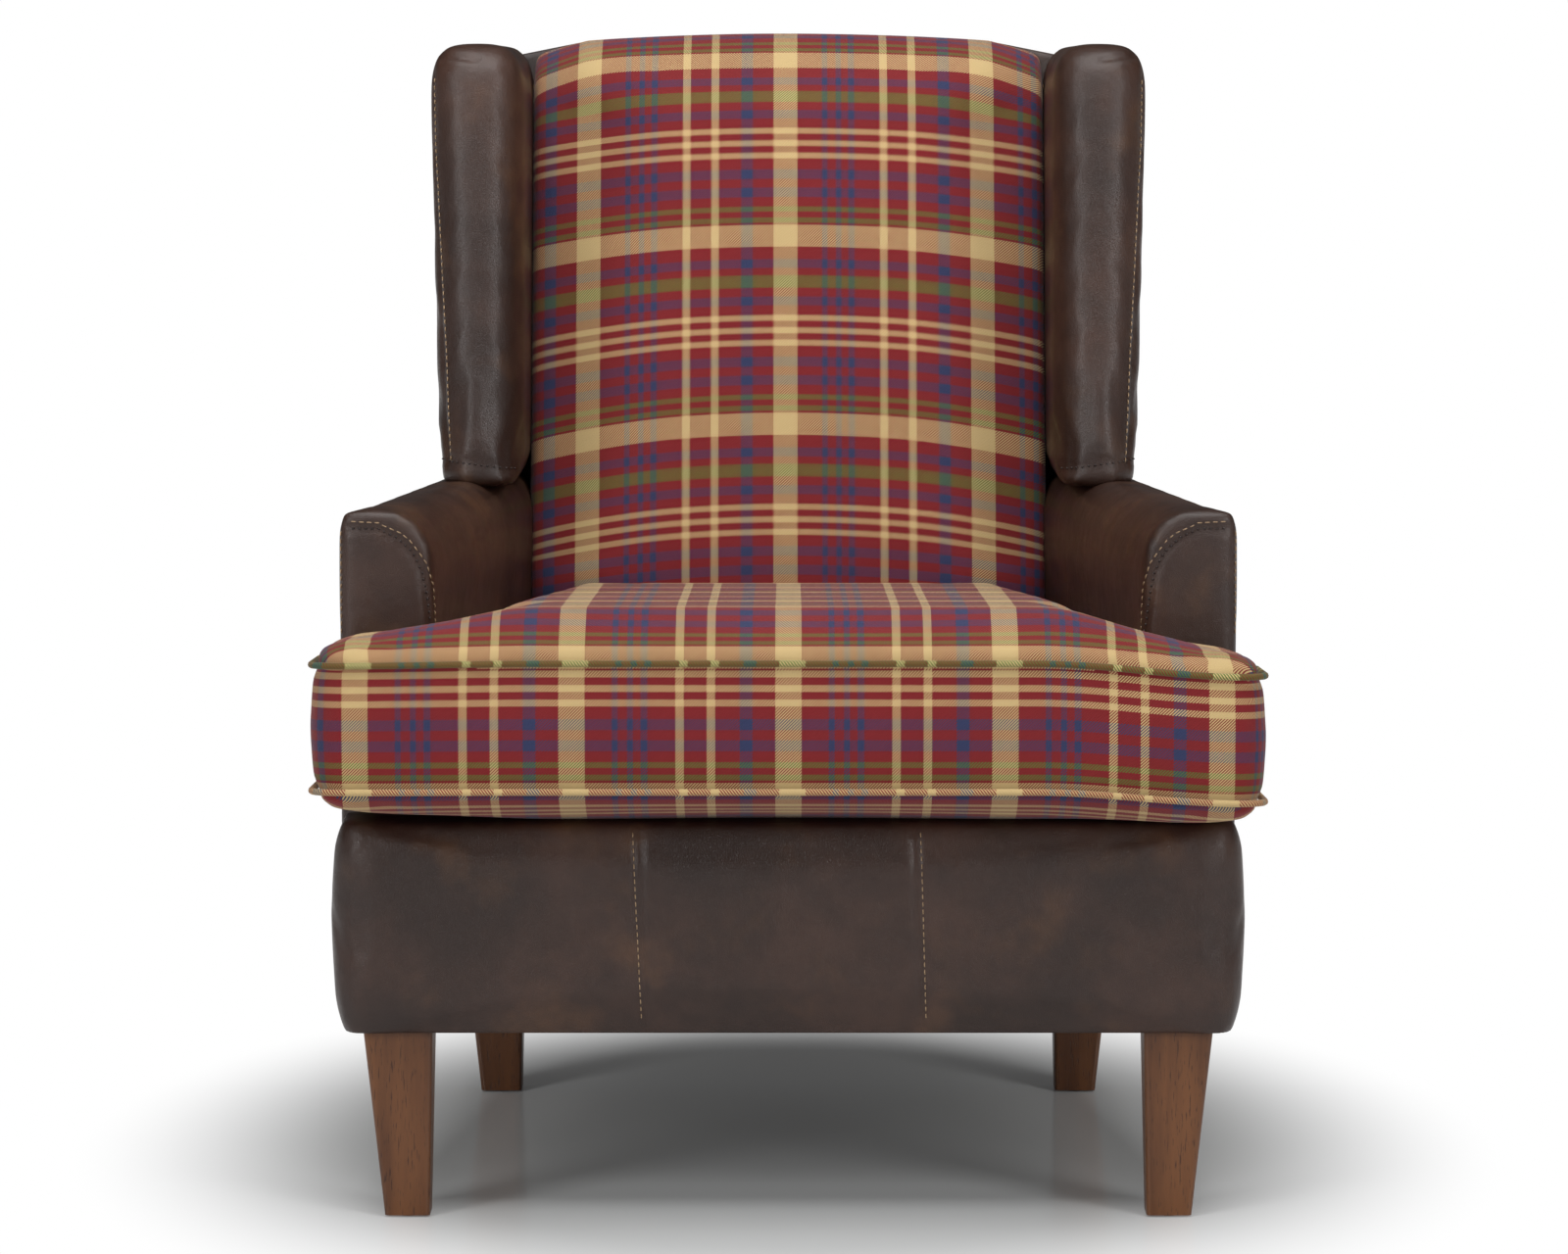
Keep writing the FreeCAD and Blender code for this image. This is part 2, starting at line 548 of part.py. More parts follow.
def zigzag_spring(centre, first, last):
    """One wire whose runs cross the spring and join in round turns."""
    bend = size("spring_pitch") / 2
    half_run = size("spring_width") / 2 - bend
    level = -size("deck_thickness") - fit - size("spring_wire") / 2
    runs = int((last - first) / size("spring_pitch")) + 1
    edges = []
    for run in range(runs):
        side = 1 if run % 2 == 0 else -1
        depth = first + run * size("spring_pitch")
        start = FreeCAD.Vector(centre - side * half_run, depth, level)
        end = FreeCAD.Vector(centre + side * half_run, depth, level)
        edges.append(Part.LineSegment(start, end).toShape())
        if run < runs - 1:
            hub = end + FreeCAD.Vector(0, bend, 0)
            tip = hub + FreeCAD.Vector(side * bend, 0, 0)
            corner = bend * math.sqrt(0.5)
            edges.append(arc(end, hub + FreeCAD.Vector(side * corner, -corner, 0), tip))
            next_start = hub + FreeCAD.Vector(0, bend, 0)
            edges.append(arc(tip, hub + FreeCAD.Vector(side * corner, corner, 0), next_start))
    wire_end = FreeCAD.Vector(centre - half_run, first, level)
    section = Part.Wire(Part.makeCircle(size("spring_wire") / 2, wire_end, FreeCAD.Vector(1, 0, 0)))
    return on_slope(Part.Wire(edges).makePipeShell([section], True, False))


spring_first = size("apron_foam") + size("rail_thickness") / 2
spring_last = size("base_depth") - size("back_panel_thickness") - size("rail_thickness") / 2
spring_runs = int((spring_last - spring_first) / size("spring_pitch"))
spring_end = spring_first + spring_runs * size("spring_pitch")
springs, clips = [], []
for i in range(int(size("spring_count"))):
    centre = (i - (size("spring_count") - 1) / 2) * size("spring_spacing")
    spring = zigzag_spring(centre, spring_first, spring_last)
    springs.append(spring)
    for depth in (spring_first, spring_end):
        top = size("seat_front_height") - depth * math.tan(slope) - size("deck_thickness") - fit
        seat = size("rail_thickness") * math.tan(slope) / 2
        bottom = top - size("spring_wire") - size("clip_thickness") - seat
        rear_shift = depth - size("clip_length") / 4
        corner = FreeCAD.Vector(centre - size("clip_width") / 2, front + rear_shift, bottom)
        clip = Part.makeBox(size("clip_width"), size("clip_length") / 2, top - bottom, corner)
        clips.append(clip.cut(spring))
keep(placed("seat_springs", Part.makeCompound(springs)))
keep(placed("spring_clips", Part.makeCompound(clips)))

# Soft forms: stacks of level outlines with rounded corners, joined by lofts


def unit(vector):
    return FreeCAD.Vector(vector).normalize()


def inset_corners(corners, insets):
    """Corners of a counter-clockwise polygon after each side has moved in by its inset."""
    count = len(corners)
    points = [FreeCAD.Vector(u, v, 0) for u, v in corners]
    sides = []
    for i in range(count):
        run = unit(points[(i + 1) % count] - points[i])
        inward = FreeCAD.Vector(-run.y, run.x, 0)
        sides.append((points[i] + inward * insets[i], run))
    moved = []
    for i in range(count):
        start, run = sides[i - 1]
        other, other_run = sides[i]
        cross = run.x * other_run.y - run.y * other_run.x
        gap = other - start
        moved.append(start + run * ((gap.x * other_run.y - gap.y * other_run.x) / cross))
    return moved


def rounded_outline(corners, radii, insets, level):
    """A closed wire of straight sides and tangent corner arcs at a level."""
    count = len(corners)
    if not isinstance(insets, (list, tuple)):
        insets = [insets] * count
    moved = inset_corners(corners, insets)
    lift = FreeCAD.Vector(0, 0, level)
    starts, middles, ends = [], [], []
    for i in range(count):
        before = unit(moved[i - 1] - moved[i])
        after = unit(moved[(i + 1) % count] - moved[i])
        convex = (after.x * before.y - after.y * before.x) > 0
        draw = min(insets[i - 1], insets[i])
        radius = max(radii[i] - draw, SHARP_RADIUS) if convex else radii[i] + draw
        half_angle = before.getAngle(after) / 2
        reach = radius / math.tan(half_angle)
        hub = moved[i] + unit(before + after) * (radius / math.sin(half_angle))
        starts.append(moved[i] + before * reach + lift)
        ends.append(moved[i] + after * reach + lift)
        middles.append(hub + unit(moved[i] - hub) * radius + lift)
    edges = []
    for i in range(count):
        edges.append(arc(starts[i], middles[i], ends[i]))
        edges.append(Part.LineSegment(ends[i], starts[(i + 1) % count]).toShape())
    return Part.Wire(edges)


def stack(outlines):
    """A solid through the outlines in turn."""
    result = Part.makeLoft(outlines, True, True)
    result.fix(0.01, 0.01, 0.01)
    return result


def roll(radius_out, radius_up, angle):
    """Draw-in and rise of a rolled edge at an angle from its widest level."""
    turn = math.radians(angle)
    return radius_out * (1 - math.cos(turn)), radius_up * math.sin(turn)


def from_front(shape):
    """Move a shape drawn with depths to the chair's frame."""
    result = shape.copy()
    result.translate(FreeCAD.Vector(0, front, 0))
    return result


def solid_box(x, depth, height):
    """A plain cutter from start to end along each axis."""
    corner = FreeCAD.Vector(x[0], front + depth[0], height[0])
    return Part.makeBox(x[1] - x[0], depth[1] - depth[0], height[1] - height[0], corner)


def arm_inner(depth):
    """Half width between the arms at a depth."""
    return (size("side_half_width") - size("arm_width") / math.cos(taper)
            - (depth - size("arm_setback")) * math.tan(taper))


def deck_level(depth):
    return size("seat_front_height") - depth * math.tan(slope)


# Angles round a rolled edge, from its widest level to its hem or top
HEM_ANGLES = (0, 20, 40, 65, 90)
BACK_ROLL_ANGLES = (0, 25, 50, 70, 85)
WING_ROLL_ANGLES = (0, 25, 50, 75)
UNDERSIDE_ANGLES = (0, 20, 45, 70, 90)
CROWN_ANGLES = (0, 15, 35, 55, 75, 90)
BAND_SHARES = (0.2, 0.5, 0.8)
REAR_ROLL_SHARE = 0.15


def apron_form(shrink):
    """The padded apron: a level box in plan, swelling between its rolled hems."""
    half = size("apron_width") / 2
    rear = size("arm_setback") - fit
    corners = [(-half, 0), (half, 0), (half, rear), (-half, rear)]
    radii = [size("apron_corner_radius"), size("apron_corner_radius"), HIDDEN_RADIUS, HIDDEN_RADIUS]
    bottom = size("leg_height") + shrink
    top = size("seat_front_height") + size("apron_rise") - shrink
    height = size("apron_hem_roll")
    outlines = []
    for angle in HEM_ANGLES[::-1]:
        draw, rise = roll(size("apron_crown"), height, angle)
        outlines.append((draw, bottom + height - rise))
    for angle in HEM_ANGLES:
        draw, rise = roll(size("apron_crown"), height, angle)
        outlines.append((draw, top - height + rise))
    wires = []
    for draw, level in outlines:
        tuck = draw + shrink
        wires.append(rounded_outline(corners, radii, [tuck, tuck, shrink, tuck], level))
    return from_front(stack(wires))


def back_front(height):
    """Depth of the inside back's face at a height, before the rolled top."""
    run = size("back_upper_depth") - size("back_low_depth")
    rise = size("back_upper_height") - size("back_lean_height")
    return size("back_low_depth") + max(0.0, height - size("back_lean_height")) * run / rise


def back_form(shrink):
    """The inside back between arms and wings, crowned across and rolled over its top."""
    bottom = deck_level(size("back_low_depth")) + fit + shrink
    roll_start = size("back_height") - size("back_roll_height") - shrink
    half = size("back_half_width")
    edge_radius, shoulder = size("back_edge_radius"), size("back_shoulder_radius")
    radii = [edge_radius, shoulder, shoulder, edge_radius, HIDDEN_RADIUS, HIDDEN_RADIUS]
    levels = [(bottom, 0), (size("back_lean_height"), 0)]
    for angle in BACK_ROLL_ANGLES:
        draw, rise = roll(size("back_roll_depth"), size("back_roll_height"), angle)
        levels.append((roll_start + rise, draw))
    outlines = []
    for height, draw in levels:
        near = back_front(height) + draw
        far = outside_back(height, size("back_panel_thickness") + fit) - draw * REAR_ROLL_SHARE
        edge = half - size("back_crown_width")
        corners = [(-half, near + size("back_crown")), (-edge, near), (edge, near),
                   (half, near + size("back_crown")), (half, far), (-half, far)]
        outlines.append(rounded_outline(corners, radii, shrink, height))
    return from_front(stack(outlines))


def wing_line(height):
    """Front depth and outer half width of a wing at a height."""
    share = (height - size("arm_height")) / (size("wing_height") - size("arm_height"))
    return [size("wing_low_" + word) + share * (size("wing_top_" + word) - size("wing_low_" + word))
            for word in ("depth", "half")]


def wing_outline(height, draw, shrink, nose):
    """The wing in plan at a height; its rear end runs on past the back."""
    near, outer = wing_line(height)
    inner = size("back_half_width") + 2 * fit
    far = size("back_top_depth") + OVERRUN
    outer_far = outer - (far - near) * math.tan(taper)
    corners = [(inner, near), (outer, near), (outer_far, far), (inner, far)]
    tuck = draw + shrink
    return rounded_outline(corners, [nose, nose, HIDDEN_RADIUS, HIDDEN_RADIUS], [tuck, tuck, 0, tuck], height)


def wing_form(shrink):
    """The padded wing above the arm, with a rounded nose and top."""
    outlines = [wing_outline(size("arm_height") + fit, 0, shrink, size("wing_nose_radius"))]
    for angle in WING_ROLL_ANGLES:
        draw, rise = roll(size("wing_top_roll"), size("wing_top_roll"), angle)
        level = size("wing_height") - size("wing_top_roll") + rise - shrink
        outlines.append(wing_outline(level, draw, shrink, size("wing_nose_radius")))
    return from_front(stack(outlines))


def wing_slab(outer_gap, inner_gap, nose_gap, bottom, top):
    """An upright slab inside the wing, given by its gaps to the wing's faces."""
    outlines = []
    for height in (bottom, top):
        near, outer = wing_line(height)
        far = size("back_top_depth") + OVERRUN
        shift = (far - near - nose_gap) * math.tan(taper)
        first = outer - nose_gap * math.tan(taper)
        corners = [(first - inner_gap, near + nose_gap), (first - outer_gap, near + nose_gap),
                   (first - outer_gap - shift, far), (first - inner_gap - shift, far)]
        outlines.append(Part.makePolygon([FreeCAD.Vector(u, v, height) for u, v in corners + corners[:1]]))
    return from_front(stack(outlines))


def on_side(shape):
    """Move a shape drawn in the side frame's own axes to its place."""
    result = shape.copy()
    corner = FreeCAD.Vector(size("side_half_width"), front + size("arm_setback"), 0)
    turn = FreeCAD.Rotation(FreeCAD.Vector(0, 0, 1), size("side_taper"))
    result.Placement = FreeCAD.Placement(corner, turn)
    return result


def arm_hook(shrink, inner_wall, top_wall, lip_wall):
    """The hook-shaped section over the arm rail, run from the arm's front to past the back."""
    outer_edge = -shrink
    inner_edge = -size("arm_width") + shrink
    top = size("arm_height") - shrink
    wall_end = size("arm_height") - size("arm_wall_drop")
    lip_end = size("arm_height") - size("arm_lip_height")
    corners = [(inner_edge, wall_end), (inner_edge + inner_wall, wall_end),
               (inner_edge + inner_wall, top - top_wall),
               (outer_edge - lip_wall, top - top_wall), (outer_edge - lip_wall, lip_end),
               (outer_edge, lip_end), (outer_edge, top), (inner_edge, top)]
    inner_round = size("arm_inner_radius") - shrink
    outer_round = size("arm_outer_radius") - shrink
    hollow = min(inner_wall, top_wall) < size("arm_inner_foam") / 2
    inside = max(inner_round - inner_wall, SHARP_RADIUS) if hollow else SHARP_RADIUS
    lip_inside = max(outer_round - lip_wall, SHARP_RADIUS) if hollow else SHARP_RADIUS
    radii = [SHARP_RADIUS, SHARP_RADIUS, inside, lip_inside, SHARP_RADIUS, SHARP_RADIUS, outer_round,
             inner_round]
    section = rounded_outline(corners, radii, 0, 0)
    section.rotate(FreeCAD.Vector(), FreeCAD.Vector(1, 0, 0), 90)
    length = size("base_depth") + size("arm_setback")
    section.translate(FreeCAD.Vector(0, -size("arm_setback"), 0))
    return on_side(Part.Face(section).extrude(FreeCAD.Vector(0, length, 0)))


def largest(shape):
    """The main solid of a cut, without loose slivers."""
    return max(shape.Solids, key=lambda solid: solid.Volume)


# Apron: foam round the front rail, and a leather cover sewn from three panels

doc.recompute()
left_side_rail = doc.getObject("left_side_rail")
front_rail = doc.getObject("front_rail").Shape
rail_top = front_rail.BoundBox.ZMax
rail_rear = size("apron_foam") + size("rail_thickness")
well_half = size("apron_width") / 2 - size("apron_return_width")
well_top = size("seat_front_height") - size("deck_thickness")
well_front = size("apron_foam") + size("cover_thickness")
across = (-well_half, well_half)
spring_well = solid_box(across, (rail_rear, size("arm_setback") + OVERRUN), (0, well_top))
spring_slot = solid_box(across, (well_front, rail_rear), (rail_top - fit, well_top))
rail_bottom = size("leg_height") + size("rail_bottom_gap")
hem_slot = solid_box(across, (size("apron_foam"), rail_rear), (0, rail_bottom))
above_deck = on_slope(Part.makeBox(4 * well_half, 4 * well_half, 4 * well_half,
                                   FreeCAD.Vector(-2 * well_half, -2 * well_half, 0)))
apron_hollows = [above_deck, spring_well, spring_slot, hem_slot, front_rail, right_side_rail.Shape,
                 left_side_rail.Shape, seat_deck.Shape]
keep(placed("apron_pad", apron_form(foam_inset).cut(apron_hollows)))
apron_skin = apron_form(0).cut([apron_form(size("cover_thickness"))] + apron_hollows)
apron_skin = apron_skin.cut(solid_box(across, (rail_rear, size("arm_setback")), (0, size("arm_height"))))
span = size("apron_width")
for label, first, last in (("apron_left_panel", -span, size("apron_seam_left")),
                           ("apron_centre_panel", size("apron_seam_left"), size("apron_seam_right")),
                           ("apron_right_panel", size("apron_seam_right"), span)):
    keep(placed(label, largest(apron_skin.common(solid_box((first, last), (-span, span), (0, span))))))

# Wings: a board on the arm rail, foam round it, leather inside and in front, leather panel outside


def with_mirror(name, shape):
    """A right-hand piece worked out in code, and its mirror image."""
    right = keep(placed("right_" + name, shape))
    mirrored("left_" + name, right)
    return right


board_outer = size("wing_board_cover")
board_inner = board_outer + size("wing_board_thickness")
arm_rail_top = size("arm_height") - size("arm_top_foam")
wing_board = wing_slab(board_outer, board_inner, size("wing_board_nose"), arm_rail_top,
                       size("wing_height") - size("wing_board_top"))
post = right_back_post.Shape
webbing = back_webbing.Shape
wing_board = wing_board.cut([space_behind(frame_inset), webbing])
beside_back = back_form(-fit)
behind = space_behind(size("back_panel_thickness"))
with_mirror("wing_board", wing_board)
outer_side = wing_slab(-OVERRUN, foam_inset, size("wing_panel_margin"), arm_rail_top,
                       size("wing_height") + OVERRUN)
wing_hollows = [behind, post, webbing]
wing_skin = wing_form(0).cut([wing_form(size("cover_thickness"))] + wing_hollows)
wing_pad = wing_form(foam_inset).cut(wing_hollows + [wing_board])
with_mirror("wing_pad", largest(wing_pad))
with_mirror("wing_cover", largest(wing_skin.cut(outer_side)))
with_mirror("outer_wing_panel", largest(wing_skin.common(outer_side)))

# Arms: foam and leather hooked over the arm rail, a padded facing, a padded outside panel

arm_cuts = [before_arm.Shape, behind, beside_back, post, webbing, wing_board]
arm_pad = arm_hook(foam_inset, size("arm_inner_foam") - foam_inset, size("arm_top_foam") - foam_inset,
                   size("arm_outer_lip") - foam_inset)
arm_pad = arm_pad.cut(arm_cuts + [right_arm_rail.Shape])
arm_cover = arm_hook(0, size("cover_thickness"), size("cover_thickness"), size("cover_thickness"))
arm_cover = arm_cover.cut(arm_cuts)
with_mirror("arm_pad", largest(arm_pad))
with_mirror("arm_cover", largest(arm_cover))
facing_bottom = rail_bottom + size("side_rail_height")
facing_inner = arm_inner(size("arm_setback"))
facing_corners = [(facing_inner, facing_bottom), (size("side_half_width"), facing_bottom),
                  (size("side_half_width"), size("arm_height")), (facing_inner, size("arm_height"))]
facing = rounded_outline(facing_corners, [SHARP_RADIUS, SHARP_RADIUS, size("arm_outer_radius"),
                                          size("arm_inner_radius")], 0, 0)
facing.rotate(FreeCAD.Vector(), FreeCAD.Vector(1, 0, 0), 90)
facing.translate(FreeCAD.Vector(0, front + size("arm_setback"), 0))
facing = Part.Face(facing).extrude(FreeCAD.Vector(0, size("facing_thickness"), 0))
right_arm_facing = with_mirror("arm_facing", facing)
before_side = board("before_side", ("-cushion_width", "2 * cushion_width"),
                    ("-arm_setback", "2 * arm_setback"), ("0", "back_height"))
outer_stock = side_board("outer_arm_stock", ("-outer_pad_thickness", "outer_pad_thickness"),
                         ("-arm_setback", "arm_setback + base_depth"),
                         ("leg_height", "arm_height - arm_lip_height - leg_height"))
outer_cuts = [before_side, right_arm_facing, behind_panel]
mirrored("left_outer_arm_panel", keep(trimmed("right_outer_arm_panel", outer_stock, outer_cuts)))

# Inside back: foam with a hollow behind its webbing, tartan cover with its wadding


def side_outer(depth):
    return size("side_half_width") - (depth - size("arm_setback")) * math.tan(taper)


hollow_height = size("post_top_height") - size("top_rail_height") - 2 * fit
back_hollow = space_behind(frame_inset).common(
    solid_box((-post_inner, post_inner), (0, size("back_top_depth")), (0, hollow_height)))
doc.recompute()
left_arm_rail = doc.getObject("left_arm_rail").Shape
back_cuts = [back_hollow, top_rail.Shape, webbing, right_arm_rail.Shape, left_arm_rail, behind]
keep(placed("inside_back_pad", largest(back_form(foam_inset).cut(back_cuts))))
back_skin = back_form(0).cut([back_form(size("cover_thickness"))] + back_cuts)
keep(placed("inside_back_cover", largest(back_skin)))

# Outside back: one flat padded panel from the seat box to the wing tops

back_edge = [(side_outer(size("base_depth")), size("leg_height")),
             (side_outer(outside_back(size("arm_height"), 0)), size("arm_height"))]
for height in (size("arm_height") + fit, size("wing_height")):
    near, outer = wing_line(height)
    back_edge.append((outer - (outside_back(height, 0) - near) * math.tan(taper), height))
corners = [(-x, z) for x, z in back_edge[:1]] + back_edge + [(-x, z) for x, z in back_edge[:0:-1]]
top_round = size("wing_top_roll")
radii = [SHARP_RADIUS] * 4 + [top_round, top_round] + [SHARP_RADIUS] * 2
back_view = rounded_outline(corners, radii, 0, 0)
back_view.rotate(FreeCAD.Vector(), FreeCAD.Vector(1, 0, 0), 90)
back_prism = Part.Face(back_view).extrude(FreeCAD.Vector(0, size("back_top_depth"), 0))
outer_back = back_prism.common(behind).cut(space_behind(0))
keep(placed("outer_back_panel", largest(outer_back)))

# Loose seat cushion: a T in plan, drawn along the deck with its own origin at the deck's front


def cushion_corners():
    """The T in plan at the widest level, from the front left corner round."""
    half = size("cushion_width") / 2
    ear_rear = size("arm_setback") - size("cushion_ear_gap")
    rear = size("back_low_depth") - size("cushion_rear_gap")
    gap = size("cushion_side_gap")
    return [(-half, -size("cushion_overhang")), (half, -size("cushion_overhang")), (half, ear_rear),
            (arm_inner(ear_rear) - gap, ear_rear), (arm_inner(rear) - gap, rear),
            (gap - arm_inner(rear), rear), (gap - arm_inner(ear_rear), ear_rear), (-half, ear_rear)]


CUSHION_RADII = [size("ear_corner_radius"), size("ear_corner_radius"), size("ear_back_radius"),
                 size("cushion_notch_radius"), size("ear_back_radius"), size("ear_back_radius"),
                 size("cushion_notch_radius"), size("ear_back_radius")]
lower_seam = size("cushion_under_crown")
upper_seam = lower_seam + size("cushion_band")
zip_level = (lower_seam + upper_seam) / 2
crown_draw = size("cushion_edge_roll")


def cushion_level(draw, level):
    return rounded_outline(cushion_corners(), CUSHION_RADII, draw, level)


def cushion_form(shrink):
    """Underside, boxing band and crown, each drawn in at the seams."""
    seam = size("seam_draw")
    outlines = []
    for angle in UNDERSIDE_ANGLES[::-1]:
        draw, rise = roll(crown_draw - seam, size("cushion_under_crown"), angle)
        outlines.append((seam + draw, lower_seam - rise))
    for share in BAND_SHARES:
        swell = math.sin(math.pi * share)
        outlines.append((seam * (1 - swell), lower_seam + share * size("cushion_band")))
    for angle in CROWN_ANGLES:
        draw, rise = roll(crown_draw - seam, size("cushion_top_crown"), angle)
        outlines.append((seam + draw, upper_seam + rise))
    flatten = (zip_level - shrink) / zip_level
    return stack([cushion_level(draw + shrink, zip_level + (level - zip_level) * flatten)
                  for draw, level in outlines])


def on_deck(shape):
    """Rest a cushion shape on the deck's slope, a hair clear of it, its widest level at its depth."""
    result = shape.copy()
    ahead = zip_level * math.sin(slope)
    rise = ahead * math.tan(slope)
    start = FreeCAD.Vector(0, front - ahead, size("seat_front_height") + fit + rise)
    turn = FreeCAD.Rotation(FreeCAD.Vector(1, 0, 0), -math.degrees(slope))
    result.Placement = FreeCAD.Placement(start, turn)
    return result


def welt(level):
    """Piping that follows a seam all round the cushion, joined where its straight front begins."""
    path = cushion_level(size("seam_draw"), level)
    edge = path.Edges[1]
    start = edge.valueAt(edge.FirstParameter)
    heading = edge.tangentAt(edge.FirstParameter)
    section = Part.Wire(Part.makeCircle(size("welt_diameter") / 2, start, heading))
    ordered = Part.Wire(path.Edges[1:] + path.Edges[:1])
    return ordered.makePipeShell([section], True, False)


rear_face = size("back_low_depth") - size("cushion_rear_gap")
tape_front = rear_face - size("cover_thickness") - size("zip_thickness")


def zip_box(length, width, depth, thickness, middle=0):
    return Part.makeBox(length, thickness, width,
                        FreeCAD.Vector(middle - length / 2, depth, zip_level - width / 2))


top_welt = welt(upper_seam)
bottom_welt = welt(lower_seam)
tape = zip_box(size("zip_length"), size("zip_width"), tape_front, size("zip_thickness"))
slot_width = size("slider_height") + 2 * size("placket_margin")
placket = zip_box(size("zip_length"), slot_width, tape_front, size("zip_recess") * 2)
slider = zip_box(size("slider_length"), size("slider_height"), tape_front + size("zip_thickness") + fit,
                 size("slider_thickness"), size("slider_length") - size("zip_length") / 2)
cover = cushion_form(0).cut([cushion_form(size("cover_thickness")), top_welt, bottom_welt, placket, tape])
core = cushion_form(foam_inset).cut([top_welt, bottom_welt, tape])
panels = ("cushion_bottom_panel", "cushion_boxing_band", "cushion_top_panel")
sewn = sorted(cover.Solids, key=lambda solid: solid.Volume)[-len(panels):]
sewn.sort(key=lambda solid: solid.CenterOfMass.z)
for label, solid in zip(panels, sewn):
    keep(placed(label, on_deck(solid)))
keep(placed("cushion_core", on_deck(largest(core))))
keep(placed("cushion_top_welt", on_deck(top_welt)))
keep(placed("cushion_bottom_welt", on_deck(bottom_welt)))
keep(placed("cushion_zip", on_deck(tape)))
keep(placed("zip_slider", on_deck(slider)))

# Check every object, then write one file per piece

doc.recompute()
for item in doc.Objects:
    if "Invalid" in item.State or "Error" in item.State:
        raise RuntimeError("%s failed to rebuild" % item.Label)
for node in nodes:
    if node.Shape.isNull() or not node.Shape.isValid() or not node.Shape.Solids:
        raise RuntimeError("%s has no valid solid" % node.Label)
os.makedirs("parts", exist_ok=True)
for node in nodes:
    node.Shape.exportStep("parts/%s.step" % node.Label)
    box = node.Shape.optimalBoundingBox()
    print("%-24s %2d solids  x %7.1f %7.1f  y %7.1f %7.1f  z %7.1f %7.1f"
          % (node.Label, len(node.Shape.Solids), box.XMin, box.XMax, box.YMin, box.YMax, box.ZMin, box.ZMax))
print("%d nodes" % len(nodes))
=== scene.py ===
# %% [markdown]
# # Fireside chair
# A wing-back chair in dark brown leather, with a tartan inside back and a loose, piped seat
# cushion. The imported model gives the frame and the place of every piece. Here each soft piece
# is copied from its solid, remeshed into one skin, filled with air and sewn, and every surface
# gets a finish worked out from nodes. Metres; the sitter faces -Y, and +Z is up.

# %% load the frame
import math

import bmesh
import bpy
import numpy as np
from mathutils import Matrix, Vector
from mathutils.bvhtree import BVHTree
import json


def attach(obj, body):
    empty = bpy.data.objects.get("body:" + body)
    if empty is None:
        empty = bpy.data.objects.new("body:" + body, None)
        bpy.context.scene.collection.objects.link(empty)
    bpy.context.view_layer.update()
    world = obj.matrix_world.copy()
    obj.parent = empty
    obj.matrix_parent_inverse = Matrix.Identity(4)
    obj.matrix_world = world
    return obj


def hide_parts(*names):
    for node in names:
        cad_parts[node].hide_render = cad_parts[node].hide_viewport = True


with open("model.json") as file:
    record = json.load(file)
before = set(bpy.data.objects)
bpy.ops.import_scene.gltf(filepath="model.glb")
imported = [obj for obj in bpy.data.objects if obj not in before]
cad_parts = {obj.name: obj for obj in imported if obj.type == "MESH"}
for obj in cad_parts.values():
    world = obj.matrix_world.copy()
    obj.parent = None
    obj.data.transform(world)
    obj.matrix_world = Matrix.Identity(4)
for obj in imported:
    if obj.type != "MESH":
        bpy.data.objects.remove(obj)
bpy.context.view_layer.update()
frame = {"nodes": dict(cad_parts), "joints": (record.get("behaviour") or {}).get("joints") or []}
scene = bpy.context.scene
print("nodes:", len(frame["nodes"]))

# %% [markdown]
# ## Shader maths
# A finish is easier to read as a sum than as a web of boxes. A Strand wraps a socket, so that
# 1 - mask or edge * 3 adds the Math node it stands for. A Finish is one material, and its one
# method adds any other node.


# %% strands and finishes
class Strand:
    """A value socket that takes part in sums."""

    def __init__(self, finish, socket):
        self.finish = finish
        self.socket = socket

    def sum(self, operation, *others):
        return self.finish.add("ShaderNodeMath", {"operation": operation}, [self, *others])

    def __add__(self, other):
        return self.sum("ADD", other)

    def __sub__(self, other):
        return self.sum("SUBTRACT", other)

    def __mul__(self, other):
        return self.sum("MULTIPLY", other)

    def __truediv__(self, other):
        return self.sum("DIVIDE", other)

    def __radd__(self, other):
        return self + other

    def __rmul__(self, other):
        return self * other

    def __rsub__(self, other):
        return self.finish.add("ShaderNodeMath", {"operation": "SUBTRACT"}, [other, self])

    def fract(self):
        return self.sum("FRACT")

    def above(self, low, high):
        """0 below low, 1 above high, smooth between."""
        return self.finish.add("ShaderNodeMapRange", {"interpolation_type": "SMOOTHSTEP"},
                               {"Value": self, "From Min": low, "From Max": high})


